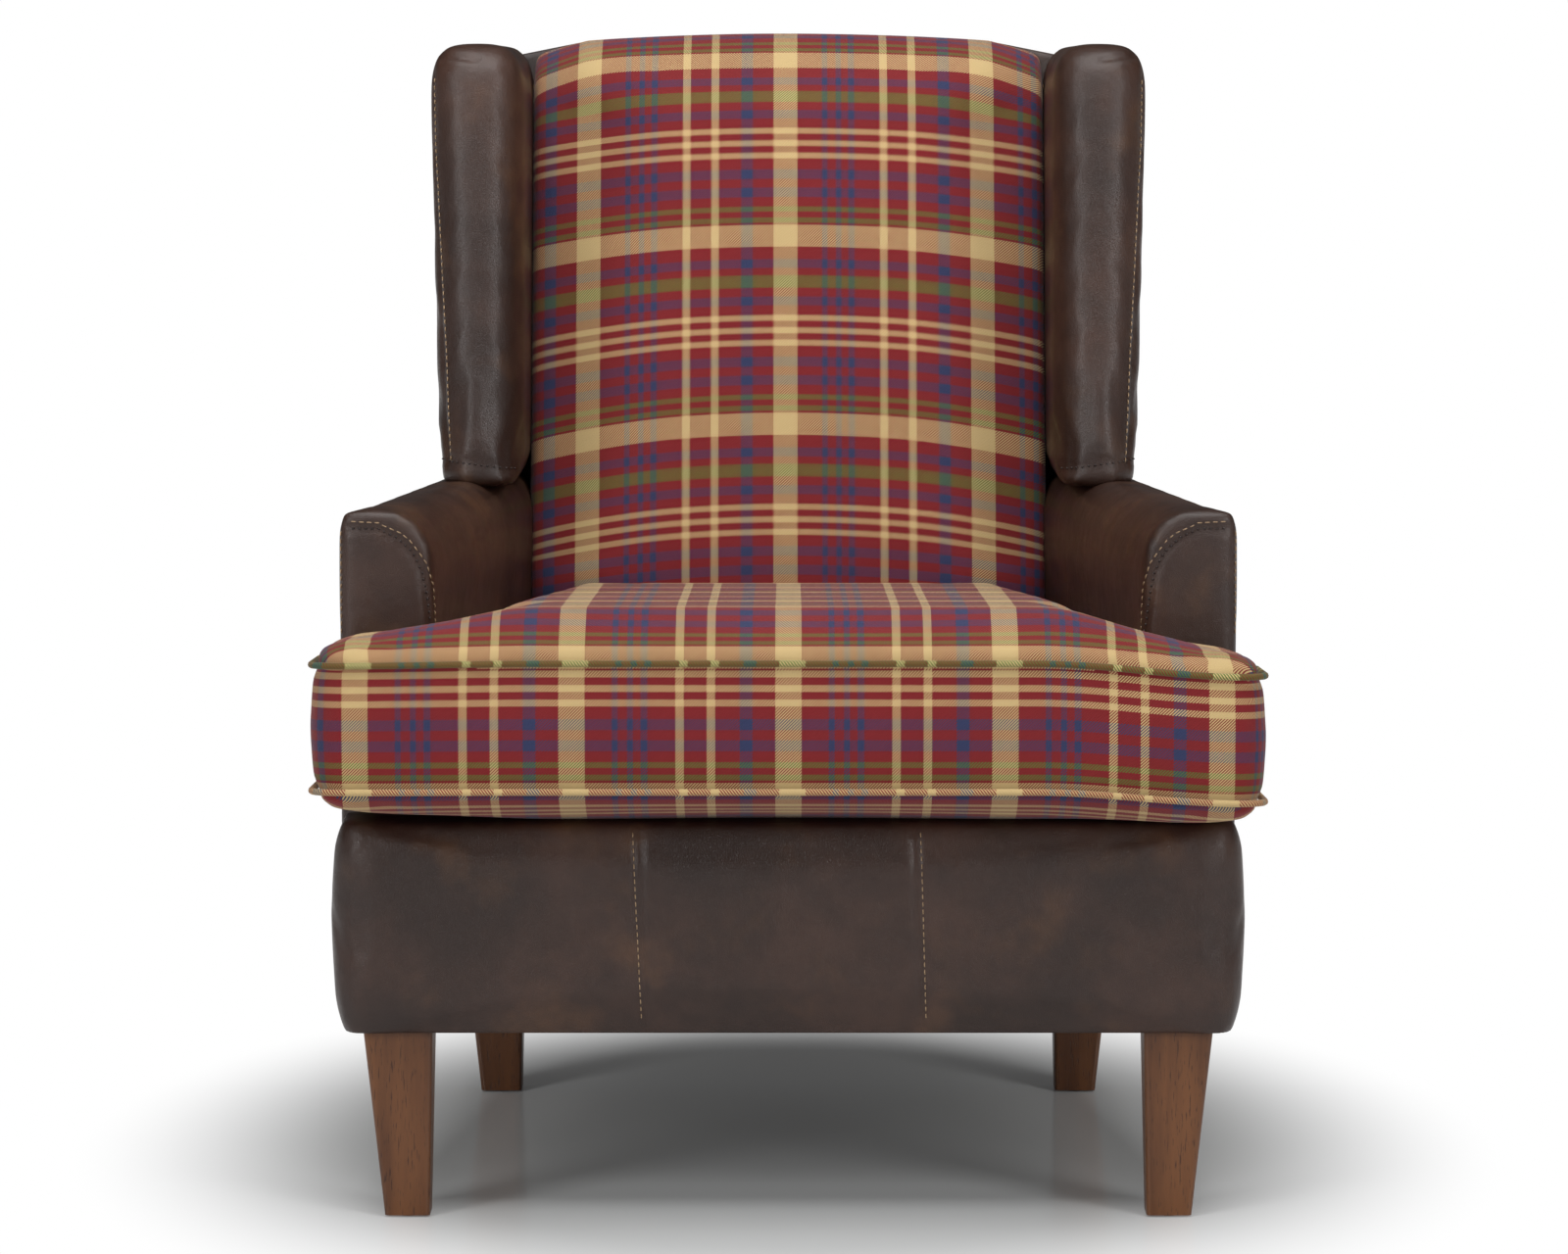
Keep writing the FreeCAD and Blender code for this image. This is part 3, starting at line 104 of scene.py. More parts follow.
class Finish:
    """One procedural material, ending in a Principled shader."""

    def __init__(self, name, **constants):
        self.material = bpy.data.materials.new(name)
        self.material.use_nodes = True
        self.tree = self.material.node_tree
        self.shader = self.tree.nodes["Principled BSDF"]
        for socket, value in constants.items():
            self.shader.inputs[socket.replace("_", " ")].default_value = value

    def add(self, kind, settings=(), inputs=(), out=0):
        """Any node: its settings first, a ramp's stops among them, then its sockets."""
        node = self.tree.nodes.new(kind)
        for key, value in dict(settings).items():
            if key == "stops":
                self.stops(node.color_ramp, value)
            else:
                setattr(node, key, value)
        pairs = inputs.items() if isinstance(inputs, dict) else enumerate(inputs)
        for key, value in pairs:
            socket = node.inputs[key]
            if isinstance(value, Strand):
                self.tree.links.new(value.socket, socket)
            else:
                socket.default_value = value
        return Strand(self, node.outputs[out])

    def stops(self, ramp, places):
        while len(ramp.elements) > 1:
            ramp.elements.remove(ramp.elements[-1])
        for index, (place, colour) in enumerate(places):
            stop = ramp.elements[0] if index == 0 else ramp.elements.new(place)
            stop.position = place
            stop.color = colour

    def blend(self, share, first, second, how="MIX"):
        """Two colours mixed by a share."""
        return self.add("ShaderNodeMix", {"data_type": "RGBA", "blend_type": how},
                        {0: share, 6: first, 7: second}, out=2)

    def noise(self, place, scale, detail=2.0, rough=0.5):
        return self.add("ShaderNodeTexNoise", {}, {"Vector": place, "Scale": scale, "Detail": detail,
                                                   "Roughness": rough})

    def object_place(self, stretch=(1, 1, 1)):
        """The place on the chair, stretched along an axis where a grain runs."""
        place = self.add("ShaderNodeTexCoord", out=3)
        return self.add("ShaderNodeMapping", {}, {"Vector": place, "Scale": stretch})

    def bump(self, height, depth, strength=1.0):
        return self.add("ShaderNodeBump", {}, {"Height": height, "Distance": depth, "Strength": strength})

    def feed(self, **strands):
        for socket, strand in strands.items():
            self.tree.links.new(strand.socket, self.shader.inputs[socket.replace("_", " ")])
        return self.material


def paint(red, green, blue):
    """A colour as measured on a screen, made linear for the nodes."""
    return tuple((value / 255) ** 2.2 for value in (red, green, blue)) + (1.0,)


# %% [markdown]
# ## Tartan
# The cloth is a wool tartan in a twill weave. Warp and weft have their own order of stripes,
# and the twill shows them in turn along fine diagonals, so that where cream crosses red both
# colours stay visible as hatching. Colour ramps with hard stops give the stripes, and a
# diagonal wave swaps warp and weft. The pattern reads the piece's UV map, laid out in metres,
# so that it follows the surface as cloth does.

# %% tartan
SETT = 0.175
TWILL_PITCH = 0.0025
RED = paint(124, 33, 36)
CREAM = paint(204, 176, 124)
GREEN = paint(84, 112, 50)
BLUE = paint(50, 58, 92)
WARP = [(0.0, 0.119, CREAM), (0.243, 0.273, BLUE), (0.313, 0.343, BLUE), (0.377, 0.407, BLUE),
        (0.536, 0.576, CREAM), (0.680, 0.720, CREAM), (0.833, 0.893, BLUE)]
WEFT = [(0.0, 0.117, CREAM), (0.183, 0.230, BLUE), (0.266, 0.334, GREEN), (0.379, 0.428, BLUE),
        (0.480, 0.511, CREAM), (0.545, 0.576, CREAM), (0.612, 0.644, CREAM), (0.702, 0.751, BLUE),
        (0.800, 0.848, BLUE), (0.899, 0.929, GREEN), (0.960, 0.987, GREEN)]


def stripes(order):
    """Stops of a ramp: each stripe begins at one stop, and red again at the next."""
    places = [] if order[0][0] == 0 else [(0.0, RED)]
    for first, last, colour in order:
        places += [(first, colour), (last, RED)]
    return places


def tartan(name, roughness=0.85):
    cloth = Finish(name, Sheen_Weight=0.10, Sheen_Roughness=0.45, Roughness=roughness,
                   Specular_IOR_Level=0.25)
    laid = cloth.add("ShaderNodeUVMap", {"uv_map": "cloth"})
    split = cloth.add("ShaderNodeSeparateXYZ", {}, [laid])
    across = split
    along = Strand(cloth, split.socket.node.outputs[1])
    ramps = []
    for strand, order in ((across, WARP), (along, WEFT)):
        settings = {"stops": stripes(order)}
        ramp = cloth.add("ShaderNodeValToRGB", settings, [(strand / SETT).fract()])
        ramp.socket.node.color_ramp.interpolation = "CONSTANT"
        ramps.append(ramp)
    diagonal = ((across + along) / TWILL_PITCH).fract()
    over = diagonal.above(0.36, 0.50) - diagonal.above(0.86, 1.0)
    colour = cloth.blend(over, ramps[1], ramps[0])
    thread = cloth.noise(laid, 1500.0, 1.0)
    worn = cloth.noise(laid, 9.0, 3.0)
    shade = 0.46 + thread * 0.36 + worn * 0.12
    rib = over.sum("ABSOLUTE") * 0.7 + thread * 0.5
    colour = cloth.add("ShaderNodeVectorMath", {"operation": "SCALE"}, {0: colour, "Scale": shade})
    return cloth.feed(Base_Color=colour, Normal=cloth.bump(rib, 0.0005, 0.55),
                      Roughness=roughness - 0.1 + thread * 0.2)


TARTAN = tartan("tartan_twill")
print("tartan stripes:", len(WARP), "warp,", len(WEFT), "weft")

# %% [markdown]
# ## Leather
# The hide is an aniline-dyed cowhide: brown-black, mottled with warmer patches, a fine pebble
# grain, and a satin top coat that greys in the light. Broad noise mottles the colour, a Voronoi
# pattern makes the pebbles, and a slow noise gives the hide its slight waviness.

# %% leather
HIDE_DEEP = paint(38, 24, 18)
HIDE_BASE = paint(60, 41, 33)
HIDE_WARM = paint(78, 53, 34)


def leather(name, roughness=0.40):
    hide = Finish(name, Specular_IOR_Level=0.42, Coat_Roughness=0.35)
    place = hide.object_place()
    patches = hide.noise(place, 7.0, 5.0, 0.62)
    mottle = hide.noise(place, 45.0, 4.0, 0.6)
    warm = hide.noise(place, 15.0, 3.0, 0.55)
    colour = hide.blend(patches.above(0.32, 0.68), HIDE_DEEP, HIDE_BASE)
    colour = hide.blend(warm.above(0.52, 0.75) * 0.55, colour, HIDE_WARM)
    colour = hide.blend(mottle.above(0.35, 0.7) * 0.35, colour, HIDE_DEEP)
    pebble = hide.add("ShaderNodeTexVoronoi", {"feature": "DISTANCE_TO_EDGE"},
                      {"Vector": place, "Scale": 620.0, "Randomness": 1.0})
    fine = hide.noise(place, 1400.0, 2.0)
    grain = pebble.above(0.0, 0.12) * 0.6 + fine * 0.4
    creased = hide.noise(place, 60.0, 3.0, 0.55)
    height = grain * 0.00016 + creased * 0.0009
    gloss = roughness - 0.07 + mottle * 0.1 + (1 - pebble.above(0.0, 0.1)) * 0.08
    return hide.feed(Base_Color=colour, Roughness=gloss, Normal=hide.bump(height, 1.0, 0.8))


LEATHER = leather("leather_hide")

# %% [markdown]
# ## Stained wood
# The legs are a light hardwood stained to walnut. Long streaks run down the leg, with short
# dark pores among them, so the place is stretched along the leg before any noise reads it.


# %% wood
def wood(name, dark, light, pore, gloss):
    timber = Finish(name, Specular_IOR_Level=0.4)
    streak = timber.noise(timber.object_place((38.0, 38.0, 3.2)), 1.0, 6.0, 0.62)
    figure = timber.noise(timber.object_place((9.0, 9.0, 2.2)), 1.0, 3.0, 0.5)
    flecks = timber.noise(timber.object_place((900.0, 900.0, 75.0)), 1.0, 2.0, 0.5).above(0.60, 0.70)
    colour = timber.blend(streak.above(0.32, 0.68), dark, light)
    colour = timber.blend(figure.above(0.4, 0.65) * 0.35, colour, dark)
    colour = timber.blend(flecks * 0.7, colour, pore)
    height = (1 - flecks) * 0.00012 + streak * 0.0002
    return timber.feed(Base_Color=colour, Roughness=gloss + flecks * 0.2,
                       Normal=timber.bump(height, 1.0, 0.7))


LEG_WOOD = wood("leg_wood", paint(76, 46, 26), paint(104, 66, 38), paint(42, 24, 14), 0.38)
FRAME_WOOD = wood("frame_wood", paint(176, 140, 96), paint(206, 172, 126), paint(140, 104, 66), 0.6)


# %% [markdown]
# ## Small finishes
# Steel springs, plastic glides, brass, webbing, cambric and thread need only a little life: a
# fine noise in colour and roughness, and a weave on the cloths.


# %% small finishes
def plain(name, colour, second, scale, gloss, depth=0.0001, metal=0.0):
    """A finish of two close colours in a fine grain."""
    made = Finish(name, Metallic=metal)
    grain = made.noise(made.object_place(), scale, 3.0)
    return made.feed(Base_Color=made.blend(grain.above(0.35, 0.65), colour, second),
                     Roughness=gloss - 0.08 + grain * 0.16, Normal=made.bump(grain, depth, 0.5))


def woven(name, colour, second, pitch, gloss=0.9):
    """Plain weave: two waves across each other."""
    cloth = Finish(name)
    place = cloth.object_place()
    split = cloth.add("ShaderNodeSeparateXYZ", {}, [place])
    waves = []
    for axis in range(3):
        run = Strand(cloth, split.socket.node.outputs[axis])
        waves.append((run * (2 * math.pi / pitch)).sum("SINE"))
    weave = (waves[0] * waves[1] + waves[0] * waves[2]) * 0.25 + 0.5
    return cloth.feed(Base_Color=cloth.blend(weave.above(0.2, 0.8), colour, second),
                      Roughness=gloss - 0.05 + weave * 0.1, Normal=cloth.bump(weave, 0.0004, 0.5))


STEEL = plain("spring_steel", paint(120, 120, 124), paint(150, 150, 152), 220.0, 0.38, metal=1.0)
BRASS = plain("slider_brass", paint(170, 138, 78), paint(198, 164, 98), 300.0, 0.34, metal=1.0)
PLASTIC = plain("glide_plastic", paint(28, 28, 29), paint(40, 40, 41), 400.0, 0.5)
THREAD = plain("tan_thread", paint(118, 96, 72), paint(146, 122, 94), 900.0, 0.6, 0.0002)
DARK_THREAD = plain("dark_thread", paint(30, 22, 20), paint(48, 36, 32), 900.0, 0.6, 0.0002)
WEBBING = woven("elastic_webbing", paint(38, 38, 40), paint(72, 70, 70), 0.003)
CAMBRIC = woven("cambric", paint(22, 22, 23), paint(38, 38, 40), 0.002)
DECK_CLOTH = woven("deck_lining", paint(52, 42, 38), paint(78, 64, 56), 0.002)
ZIP_TAPE = woven("zip_tape", paint(88, 26, 28), paint(120, 38, 38), 0.0015)

# %% [markdown]
# ## How the soft pieces are made
# Each soft piece starts as copies of its solids, joined and remeshed into one skin. Cloth
# pressure swells the skin while its seams are pinned, and no point may move further than a cap.
# A subdivision smooths it, and the seams are pressed in afterwards, because a remesh would
# lose them.


# %% helpers for soft pieces
def deselect():
    for item in bpy.context.selected_objects:
        item.select_set(False)


def activate(item):
    deselect()
    item.select_set(True)
    bpy.context.view_layer.objects.active = item


def points_of(item):
    flat = np.empty(len(item.data.vertices) * 3)
    item.data.vertices.foreach_get("co", flat)
    return flat.reshape(-1, 3)


def normals_of(item):
    flat = np.empty(len(item.data.vertices) * 3)
    item.data.vertices.foreach_get("normal", flat)
    return flat.reshape(-1, 3)


def set_points(item, points):
    item.data.vertices.foreach_set("co", np.ascontiguousarray(points, dtype=np.float32).ravel())
    item.data.update()


def climb(values, low, high):
    """0 below low, 1 above high, straight between. With low above high it falls instead."""
    return np.clip((values - low) / (high - low), 0, 1)


def finish_with(item, kind, **settings):
    """Adds a modifier and applies it."""
    activate(item)
    modifier = item.modifiers.new(kind.title(), kind)
    for key, value in settings.items():
        setattr(modifier, key, value)
    bpy.ops.object.modifier_apply(modifier=modifier.name)


MERGE_GAP = 0.00002
HELD_FROM = 0.02
PUFF_FRAMES = 20


def blank(name, nodes, voxel, hull=False, shrink=0.0, rounds=3):
    """One closed skin round copies of the solids."""
    copies = []
    for node in nodes:
        copy = frame["nodes"][node].copy()
        copy.data = frame["nodes"][node].data.copy()
        copy.parent = None
        for key in list(copy.keys()):
            del copy[key]
        scene.collection.objects.link(copy)
        copies.append(copy)
    activate(copies[0])
    for copy in copies:
        copy.select_set(True)
    if len(copies) > 1:
        bpy.ops.object.join()
    item = bpy.context.view_layer.objects.active
    item.name = name
    item.data.name = name
    bpy.ops.object.mode_set(mode="EDIT")
    bpy.ops.mesh.select_all(action="SELECT")
    bpy.ops.mesh.remove_doubles(threshold=MERGE_GAP)
    if hull:
        bpy.ops.mesh.convex_hull()
    bpy.ops.object.mode_set(mode="OBJECT")
    finish_with(item, "REMESH", mode="VOXEL", voxel_size=voxel, adaptivity=0.0)
    keep_largest(item)
    finish_with(item, "SMOOTH", factor=0.5, iterations=rounds)
    if shrink:
        set_points(item, points_of(item) - normals_of(item) * shrink)
    return item


def keep_largest(item):
    """Drops loose inner skins, such as the walls of a hollow."""
    shell = bmesh.new()
    shell.from_mesh(item.data)
    left = set(shell.verts)
    groups = []
    while left:
        seed = left.pop()
        group, edge_of_group = {seed}, [seed]
        while edge_of_group:
            for edge in edge_of_group.pop().link_edges:
                for vertex in edge.verts:
                    if vertex in left:
                        left.discard(vertex)
                        group.add(vertex)
                        edge_of_group.append(vertex)
        groups.append(group)
    groups.sort(key=len)
    loose = [vertex for group in groups[:-1] for vertex in group]
    bmesh.ops.delete(shell, geom=loose, context="VERTS")
    shell.to_mesh(item.data)
    shell.free()


def puff(item, pressure, cap, pinned):
    """Swells the skin with cloth pressure; pinned gives each point's hold from 0 to 1."""
    start = points_of(item)
    held = item.vertex_groups.new(name="held")
    for index in np.nonzero(pinned > HELD_FROM)[0]:
        held.add([int(index)], float(pinned[index]), "REPLACE")
    activate(item)
    cloth = item.modifiers.new("Cloth", "CLOTH")
    cloth.settings.vertex_group_mass = "held"
    cloth.settings.use_pressure = True
    cloth.settings.uniform_pressure_force = pressure
    cloth.settings.effector_weights.gravity = 0.0
    cloth.settings.quality = 4
    cloth.settings.tension_stiffness = 20
    cloth.settings.compression_stiffness = 20
    cloth.settings.bending_stiffness = 0.6
    cloth.point_cache.frame_start = 1
    cloth.point_cache.frame_end = PUFF_FRAMES
    for moment in range(1, PUFF_FRAMES + 1):
        scene.frame_set(moment)
    bpy.ops.object.modifier_apply(modifier=cloth.name)
    moved = points_of(item) - start
    reach = np.linalg.norm(moved, axis=1, keepdims=True)
    set_points(item, start + moved * np.minimum(1.0, cap / np.maximum(reach, 1e-9)))
    item.vertex_groups.clear()
    scene.frame_set(1)


def dense(line, step=0.003):
    """Points along a line of corners, about a step apart."""
    corners = np.array(line, float)
    points = []
    for first, last in zip(corners[:-1], corners[1:]):
        count = max(1, int(np.linalg.norm(last - first) / step))
        points += [first + (last - first) * i / count for i in range(count)]
    return np.array(points + [corners[-1]])


def distance_to(points, line):
    """Each point's distance to a dense line."""
    nearest = np.full(len(points), 1e9)
    for part in np.array_split(line, max(1, len(line) // 64)):
        gaps = np.linalg.norm(points[:, None, :] - part[None, :, :], axis=2)
        nearest = np.minimum(nearest, gaps.min(axis=1))
    return nearest


def press_seam(item, line, width, depth):
    """Presses a valley along a line into the skin."""
    points = points_of(item)
    inside = (points > line.min(0) - 3 * width) & (points < line.max(0) + 3 * width)
    close = np.nonzero(np.all(inside, axis=1))[0]
    gap = distance_to(points[close], line)
    normals = normals_of(item)[close]
    points[close] -= normals * (depth * np.exp(-(gap / width) ** 2))[:, None]
    set_points(item, points)


def skin_tree(item):
    return BVHTree.FromPolygons([tuple(p) for p in points_of(item)],
                                [tuple(f.vertices) for f in item.data.polygons])


def onto(item, line, lift=0.0, toward=None):
    """Lays a line onto the skin: along a direction where one is given, else to the nearest point."""
    tree = skin_tree(item)
    laid = []
    for point in line:
        place = Vector(point)
        if toward is None:
            hit, normal = tree.find_nearest(place)[:2]
        else:
            aim = Vector(toward)
            hit, normal = tree.ray_cast(place - aim * 2.0, aim)[:2]
        if hit is not None:
            laid.append((hit + normal * lift, normal))
    return laid


def done(item, finish, body, nodes=(), smooth=True):
    """Gives a finished piece its finish, its body and what it stands for."""
    item.data.materials.clear()
    item.data.materials.append(finish)
    if smooth:
        item.data.polygons.foreach_set("use_smooth", [True] * len(item.data.polygons))
        item.data.update()
    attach(item, body)
    if nodes:
        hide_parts(*nodes)
    print(item.name, len(item.data.polygons), "faces")
    return item


# %% [markdown]
# ## Sewing
# Topstitching is real thread here: one short stitch is a small capsule, modelled once and
# copied along a line laid onto the leather. Piping is a cord wrapped in cloth, a tube along
# the seam with its own lay of the pattern.


# %% sewing
def mesh_piece(name, vertices, faces):
    mesh = bpy.data.meshes.new(name)
    mesh.from_pydata([tuple(v) for v in vertices], [], [tuple(f) for f in faces])
    mesh.update()
    item = bpy.data.objects.new(name, mesh)
    scene.collection.objects.link(item)
    return item


STITCH_RINGS = ((-0.5, 0.35), (-0.34, 0.9), (0.0, 1.0), (0.34, 0.9), (0.5, 0.35))
STITCH_SIDES = 6
STITCH_LIFT, STITCH_ARCH = 0.9, 3.0


def stitches(name, surface, line, body, thread, slot, length=0.0042, pitch=0.0062, thick=0.00055,
             toward=None):
    """A row of stitches along a line, half sunk into the leather."""
    laid = onto(surface, dense(line, pitch / 4), 0.0, toward)
    places, travelled = [], 0.0
    for (first, normal), (second, _) in zip(laid[:-1], laid[1:]):
        travelled += (second - first).length
        if travelled >= pitch and (second - first).length > 1e-6:
            travelled = 0.0
            places.append((second, (second - first).normalized(), normal))
    vertices, faces = [], []
    for middle, along, normal in places:
        side = along.cross(normal).normalized()
        rise = side.cross(along).normalized()
        base = len(vertices)
        for place, girth in STITCH_RINGS:
            lift = thick * (STITCH_LIFT - STITCH_ARCH * place * place)
            for k in range(STITCH_SIDES):
                turn = 2 * math.pi * k / STITCH_SIDES
                up = rise * (lift + thick * girth * math.sin(turn))
                out = side * (thick * girth * math.cos(turn))
                vertices.append(middle + along * (place * length) + up + out)
        for ring in range(len(STITCH_RINGS) - 1):
            for k in range(STITCH_SIDES):
                a = base + ring * STITCH_SIDES + k
                b = base + ring * STITCH_SIDES + (k + 1) % STITCH_SIDES
                faces.append((a, b, b + STITCH_SIDES, a + STITCH_SIDES))
        last = base + (len(STITCH_RINGS) - 1) * STITCH_SIDES
        faces.append([base + k for k in reversed(range(STITCH_SIDES))])
        faces.append([last + k for k in range(STITCH_SIDES)])
    row = mesh_piece(name, vertices, faces)
    activate(row)
    bpy.ops.object.mode_set(mode="EDIT")
    bpy.ops.mesh.select_all(action="SELECT")
    bpy.ops.mesh.normals_make_consistent(inside=False)
    bpy.ops.object.mode_set(mode="OBJECT")
    return done(row, thread, body)


TUBE_SIDES = 10


def tube(name, path, radius):
    """A round cord along a closed path, and how far along it each ring lies."""
    path = [Vector(p) for p in path]
    count = len(path)
    vertices, faces, lengths = [], [], [0.0]
    for i in range(count):
        along = (path[(i + 1) % count] - path[i - 1]).normalized()
        side = along.cross(Vector((0, 0, 1))).normalized()
        rise = side.cross(along).normalized()
        for k in range(TUBE_SIDES):
            turn = 2 * math.pi * k / TUBE_SIDES
            vertices.append(path[i] + side * (radius * math.cos(turn)) + rise * (radius * math.sin(turn)))
        lengths.append(lengths[-1] + (path[(i + 1) % count] - path[i]).length)
    for i in range(count):
        for k in range(TUBE_SIDES):
            j, m = (i + 1) % count, (k + 1) % TUBE_SIDES
            faces.append((i * TUBE_SIDES + k, j * TUBE_SIDES + k, j * TUBE_SIDES + m, i * TUBE_SIDES + m))
    item = mesh_piece(name, vertices, faces)
    return item, lengths


# %% [markdown]
# ## Seat cushion: plan and seams
# The cushion is a T in plan: its front ears lie before the arms. Its cover is a top panel, a
# boxing band and a bottom panel, joined at two piped seams. The plan is drawn along the deck,
# which slopes down to the rear, so a matrix carries it to its place.

# %% cushion plan
SLOPE = math.atan2(frame["joints"][0]["axis"][2], -frame["joints"][0]["axis"][1])
SEAM_LOW, SEAM_HIGH = 0.023, 0.127
SEAM_MIDDLE = (SEAM_LOW + SEAM_HIGH) / 2
DECK_FRONT, DECK_HEIGHT = -0.385, 0.33544
DECK = (Matrix.Translation((0, DECK_FRONT - SEAM_MIDDLE * math.sin(SLOPE), DECK_HEIGHT))
        @ Matrix.Rotation(-SLOPE, 4, "X"))
PLAN = [(-0.390, -0.045, 0.030), (0.390, -0.045, 0.030), (0.390, 0.095, 0.020),
        (0.2928, 0.095, 0.003), (0.2355, 0.562, 0.020), (-0.2355, 0.562, 0.020),
        (-0.2928, 0.095, 0.003), (-0.390, 0.095, 0.020)]
SEAM_DRAW = 0.0032
CORNER_STEPS, OUTLINE_STEP = 9, 0.004


def rounded_plan(draw):
    """The plan's outline, drawn in and with its corners rounded."""
    corners = np.array([(x, y) for x, y, radius in PLAN])
    count = len(corners)
    moved = []
    for i in range(count):
        run_in = corners[i] - corners[i - 1]
        run_out = corners[(i + 1) % count] - corners[i]
        run_in, run_out = run_in / np.linalg.norm(run_in), run_out / np.linalg.norm(run_out)
        side_in, side_out = np.array([-run_in[1], run_in[0]]), np.array([-run_out[1], run_out[0]])
        moved.append(corners[i] + draw * (side_in + side_out) / (1 + side_in @ side_out))
    outline = []
    for i in range(count):
        before = moved[i - 1] - moved[i]
        after = moved[(i + 1) % count] - moved[i]
        before, after = before / np.linalg.norm(before), after / np.linalg.norm(after)
        half = math.acos(float(np.clip(before @ after, -1, 1))) / 2
        reach = PLAN[i][2] / math.tan(half)
        start, end, middle = moved[i] + before * reach, moved[i] + after * reach, moved[i]
        for share in np.linspace(0, 1, CORNER_STEPS):
            outline.append((1 - share) ** 2 * start + 2 * share * (1 - share) * middle
                           + share ** 2 * end)
    outline.append(outline[0])
    return dense([(x, y, 0.0) for x, y in outline], OUTLINE_STEP)[:-1]


OUTLINE = rounded_plan(SEAM_DRAW)
WIDEST = rounded_plan(0.0)
print("seam length:", round(float(np.linalg.norm(np.diff(OUTLINE, axis=0), axis=1).sum()), 3), "m")


def from_deck(points):
    turned = np.array(DECK.to_3x3())
    return points @ turned.T + np.array(DECK.translation)


def to_deck(points):
    back = DECK.inverted()
    return points @ np.array(back.to_3x3()).T + np.array(back.translation)


EAR_FROM, EAR_WIDTH, CROWN = 0.20, 0.17, 0.038
RIGHT_DROP, LEFT_DROP, CROWN_DROP, RIGHT_FOOT_DROP = 0.011, 0.002, 0.012, 0.009


def settle(points):
    """How the filled cushion lies: softer, lower ears, and its left-hand ear a little plumper."""
    across, depth, level = points.T
    ear = np.clip((np.abs(across) - EAR_FROM) / EAR_WIDTH, 0, 1)
    ear = ear * ear * (3 - 2 * ear)
    lift = np.clip(level / SEAM_HIGH, 0, 1.3)
    crown = np.clip((level - SEAM_HIGH) / CROWN, 0, 1.2)
    drop = np.where(across > 0, RIGHT_DROP, LEFT_DROP) * ear * lift + CROWN_DROP * ear * crown
    low_right = np.where(across > 0, RIGHT_FOOT_DROP * ear * (1 - lift.clip(0, 1)), 0)
    return np.stack([across, depth, level - drop - low_right], axis=1)


# %% [markdown]
# ## Seat cushion: skin
# The four solids of the cushion are joined and remeshed, then blown up with the two seams
# pinned, so that the band and the crown swell between them as a filled cover does.

# %% cushion skin
CUSHION_NODES = ["cushion_core", "cushion_top_panel", "cushion_boxing_band", "cushion_bottom_panel"]
RIM_REACH, SEAM_HOLD = 0.016, 0.006
cushion = blank("seat_cushion_cover", CUSHION_NODES, voxel=0.0095, shrink=0.002)
laid = to_deck(points_of(cushion))
seam_gap = np.minimum(np.abs(laid[:, 2] - SEAM_LOW), np.abs(laid[:, 2] - SEAM_HIGH))
rim = distance_to(laid * (1, 1, 0), WIDEST) < RIM_REACH
puff(cushion, pressure=4.0, cap=0.007,
     pinned=np.where(rim, np.clip(1.5 - seam_gap / SEAM_HOLD, 0, 1), 0))
finish_with(cushion, "SUBSURF", levels=1, render_levels=1)
set_points(cushion, from_deck(settle(to_deck(points_of(cushion)))))


def seam_line(level):
    return from_deck(settle(OUTLINE + (0, 0, level)))


for level in (SEAM_HIGH, SEAM_LOW):
    press_seam(cushion, seam_line(level), width=0.0075, depth=0.0030)

# %% [markdown]
# ## Seat cushion: lay of the cloth
# Each panel was cut from the roll on its own, so the three have their own lay. On the top and
# bottom the pattern runs straight across and grows a little where the skin falls to its seam.
# On the band it runs round the cushion. The pattern is matched at the front, as on the chair.


# %% cushion cloth
def lay_cloth(item, lays, chosen):
    """Writes a UV map in metres. Each face takes the lay, of those given, that its middle is in."""
    loops = np.empty(len(item.data.loops), dtype=np.int64)
    item.data.loops.foreach_get("vertex_index", loops)
    totals = np.empty(len(item.data.polygons), dtype=np.int64)
    item.data.polygons.foreach_get("loop_total", totals)
    starts = np.cumsum(totals) - totals
    face_of = np.repeat(np.arange(len(totals)), totals)
    middle = np.add.reduceat(chosen[loops], starts) / totals
    pick = np.clip(np.round(middle), 0, len(lays) - 1).astype(int)[face_of]
    written = np.array(lays)[pick, loops]
    first = written[starts][face_of]
    written[:, 0] -= np.round((written[:, 0] - first[:, 0]) / ROUND_JUMP) * ROUND_JUMP
    item.data.uv_layers.new(name="cloth").data.foreach_set("uv", written.ravel())


def run_round(points, outline, closed=True):
    """How far along the outline each point lies."""
    ahead = np.roll(outline, -1, axis=0) - outline
    steps = np.linalg.norm(ahead, axis=1)
    runs = np.concatenate([[0], np.cumsum(steps)[:-1]])
    nearest = np.empty(len(points), dtype=np.int64)
    for part in np.array_split(np.arange(len(points)), max(1, len(points) // 4000)):
        gaps = ((points[part, None, :2] - outline[None, :, :2]) ** 2).sum(axis=2)
        nearest[part] = gaps.argmin(axis=1)
    tangent = np.roll(outline, -1, axis=0) - np.roll(outline, 1, axis=0)
    if not closed:
        tangent[0], tangent[-1] = outline[1] - outline[0], outline[-1] - outline[-2]
    tangent = tangent / np.linalg.norm(tangent, axis=1, keepdims=True)
    extra = ((points[:, :2] - outline[nearest, :2]) * tangent[nearest, :2]).sum(axis=1)
    return runs[nearest] + extra


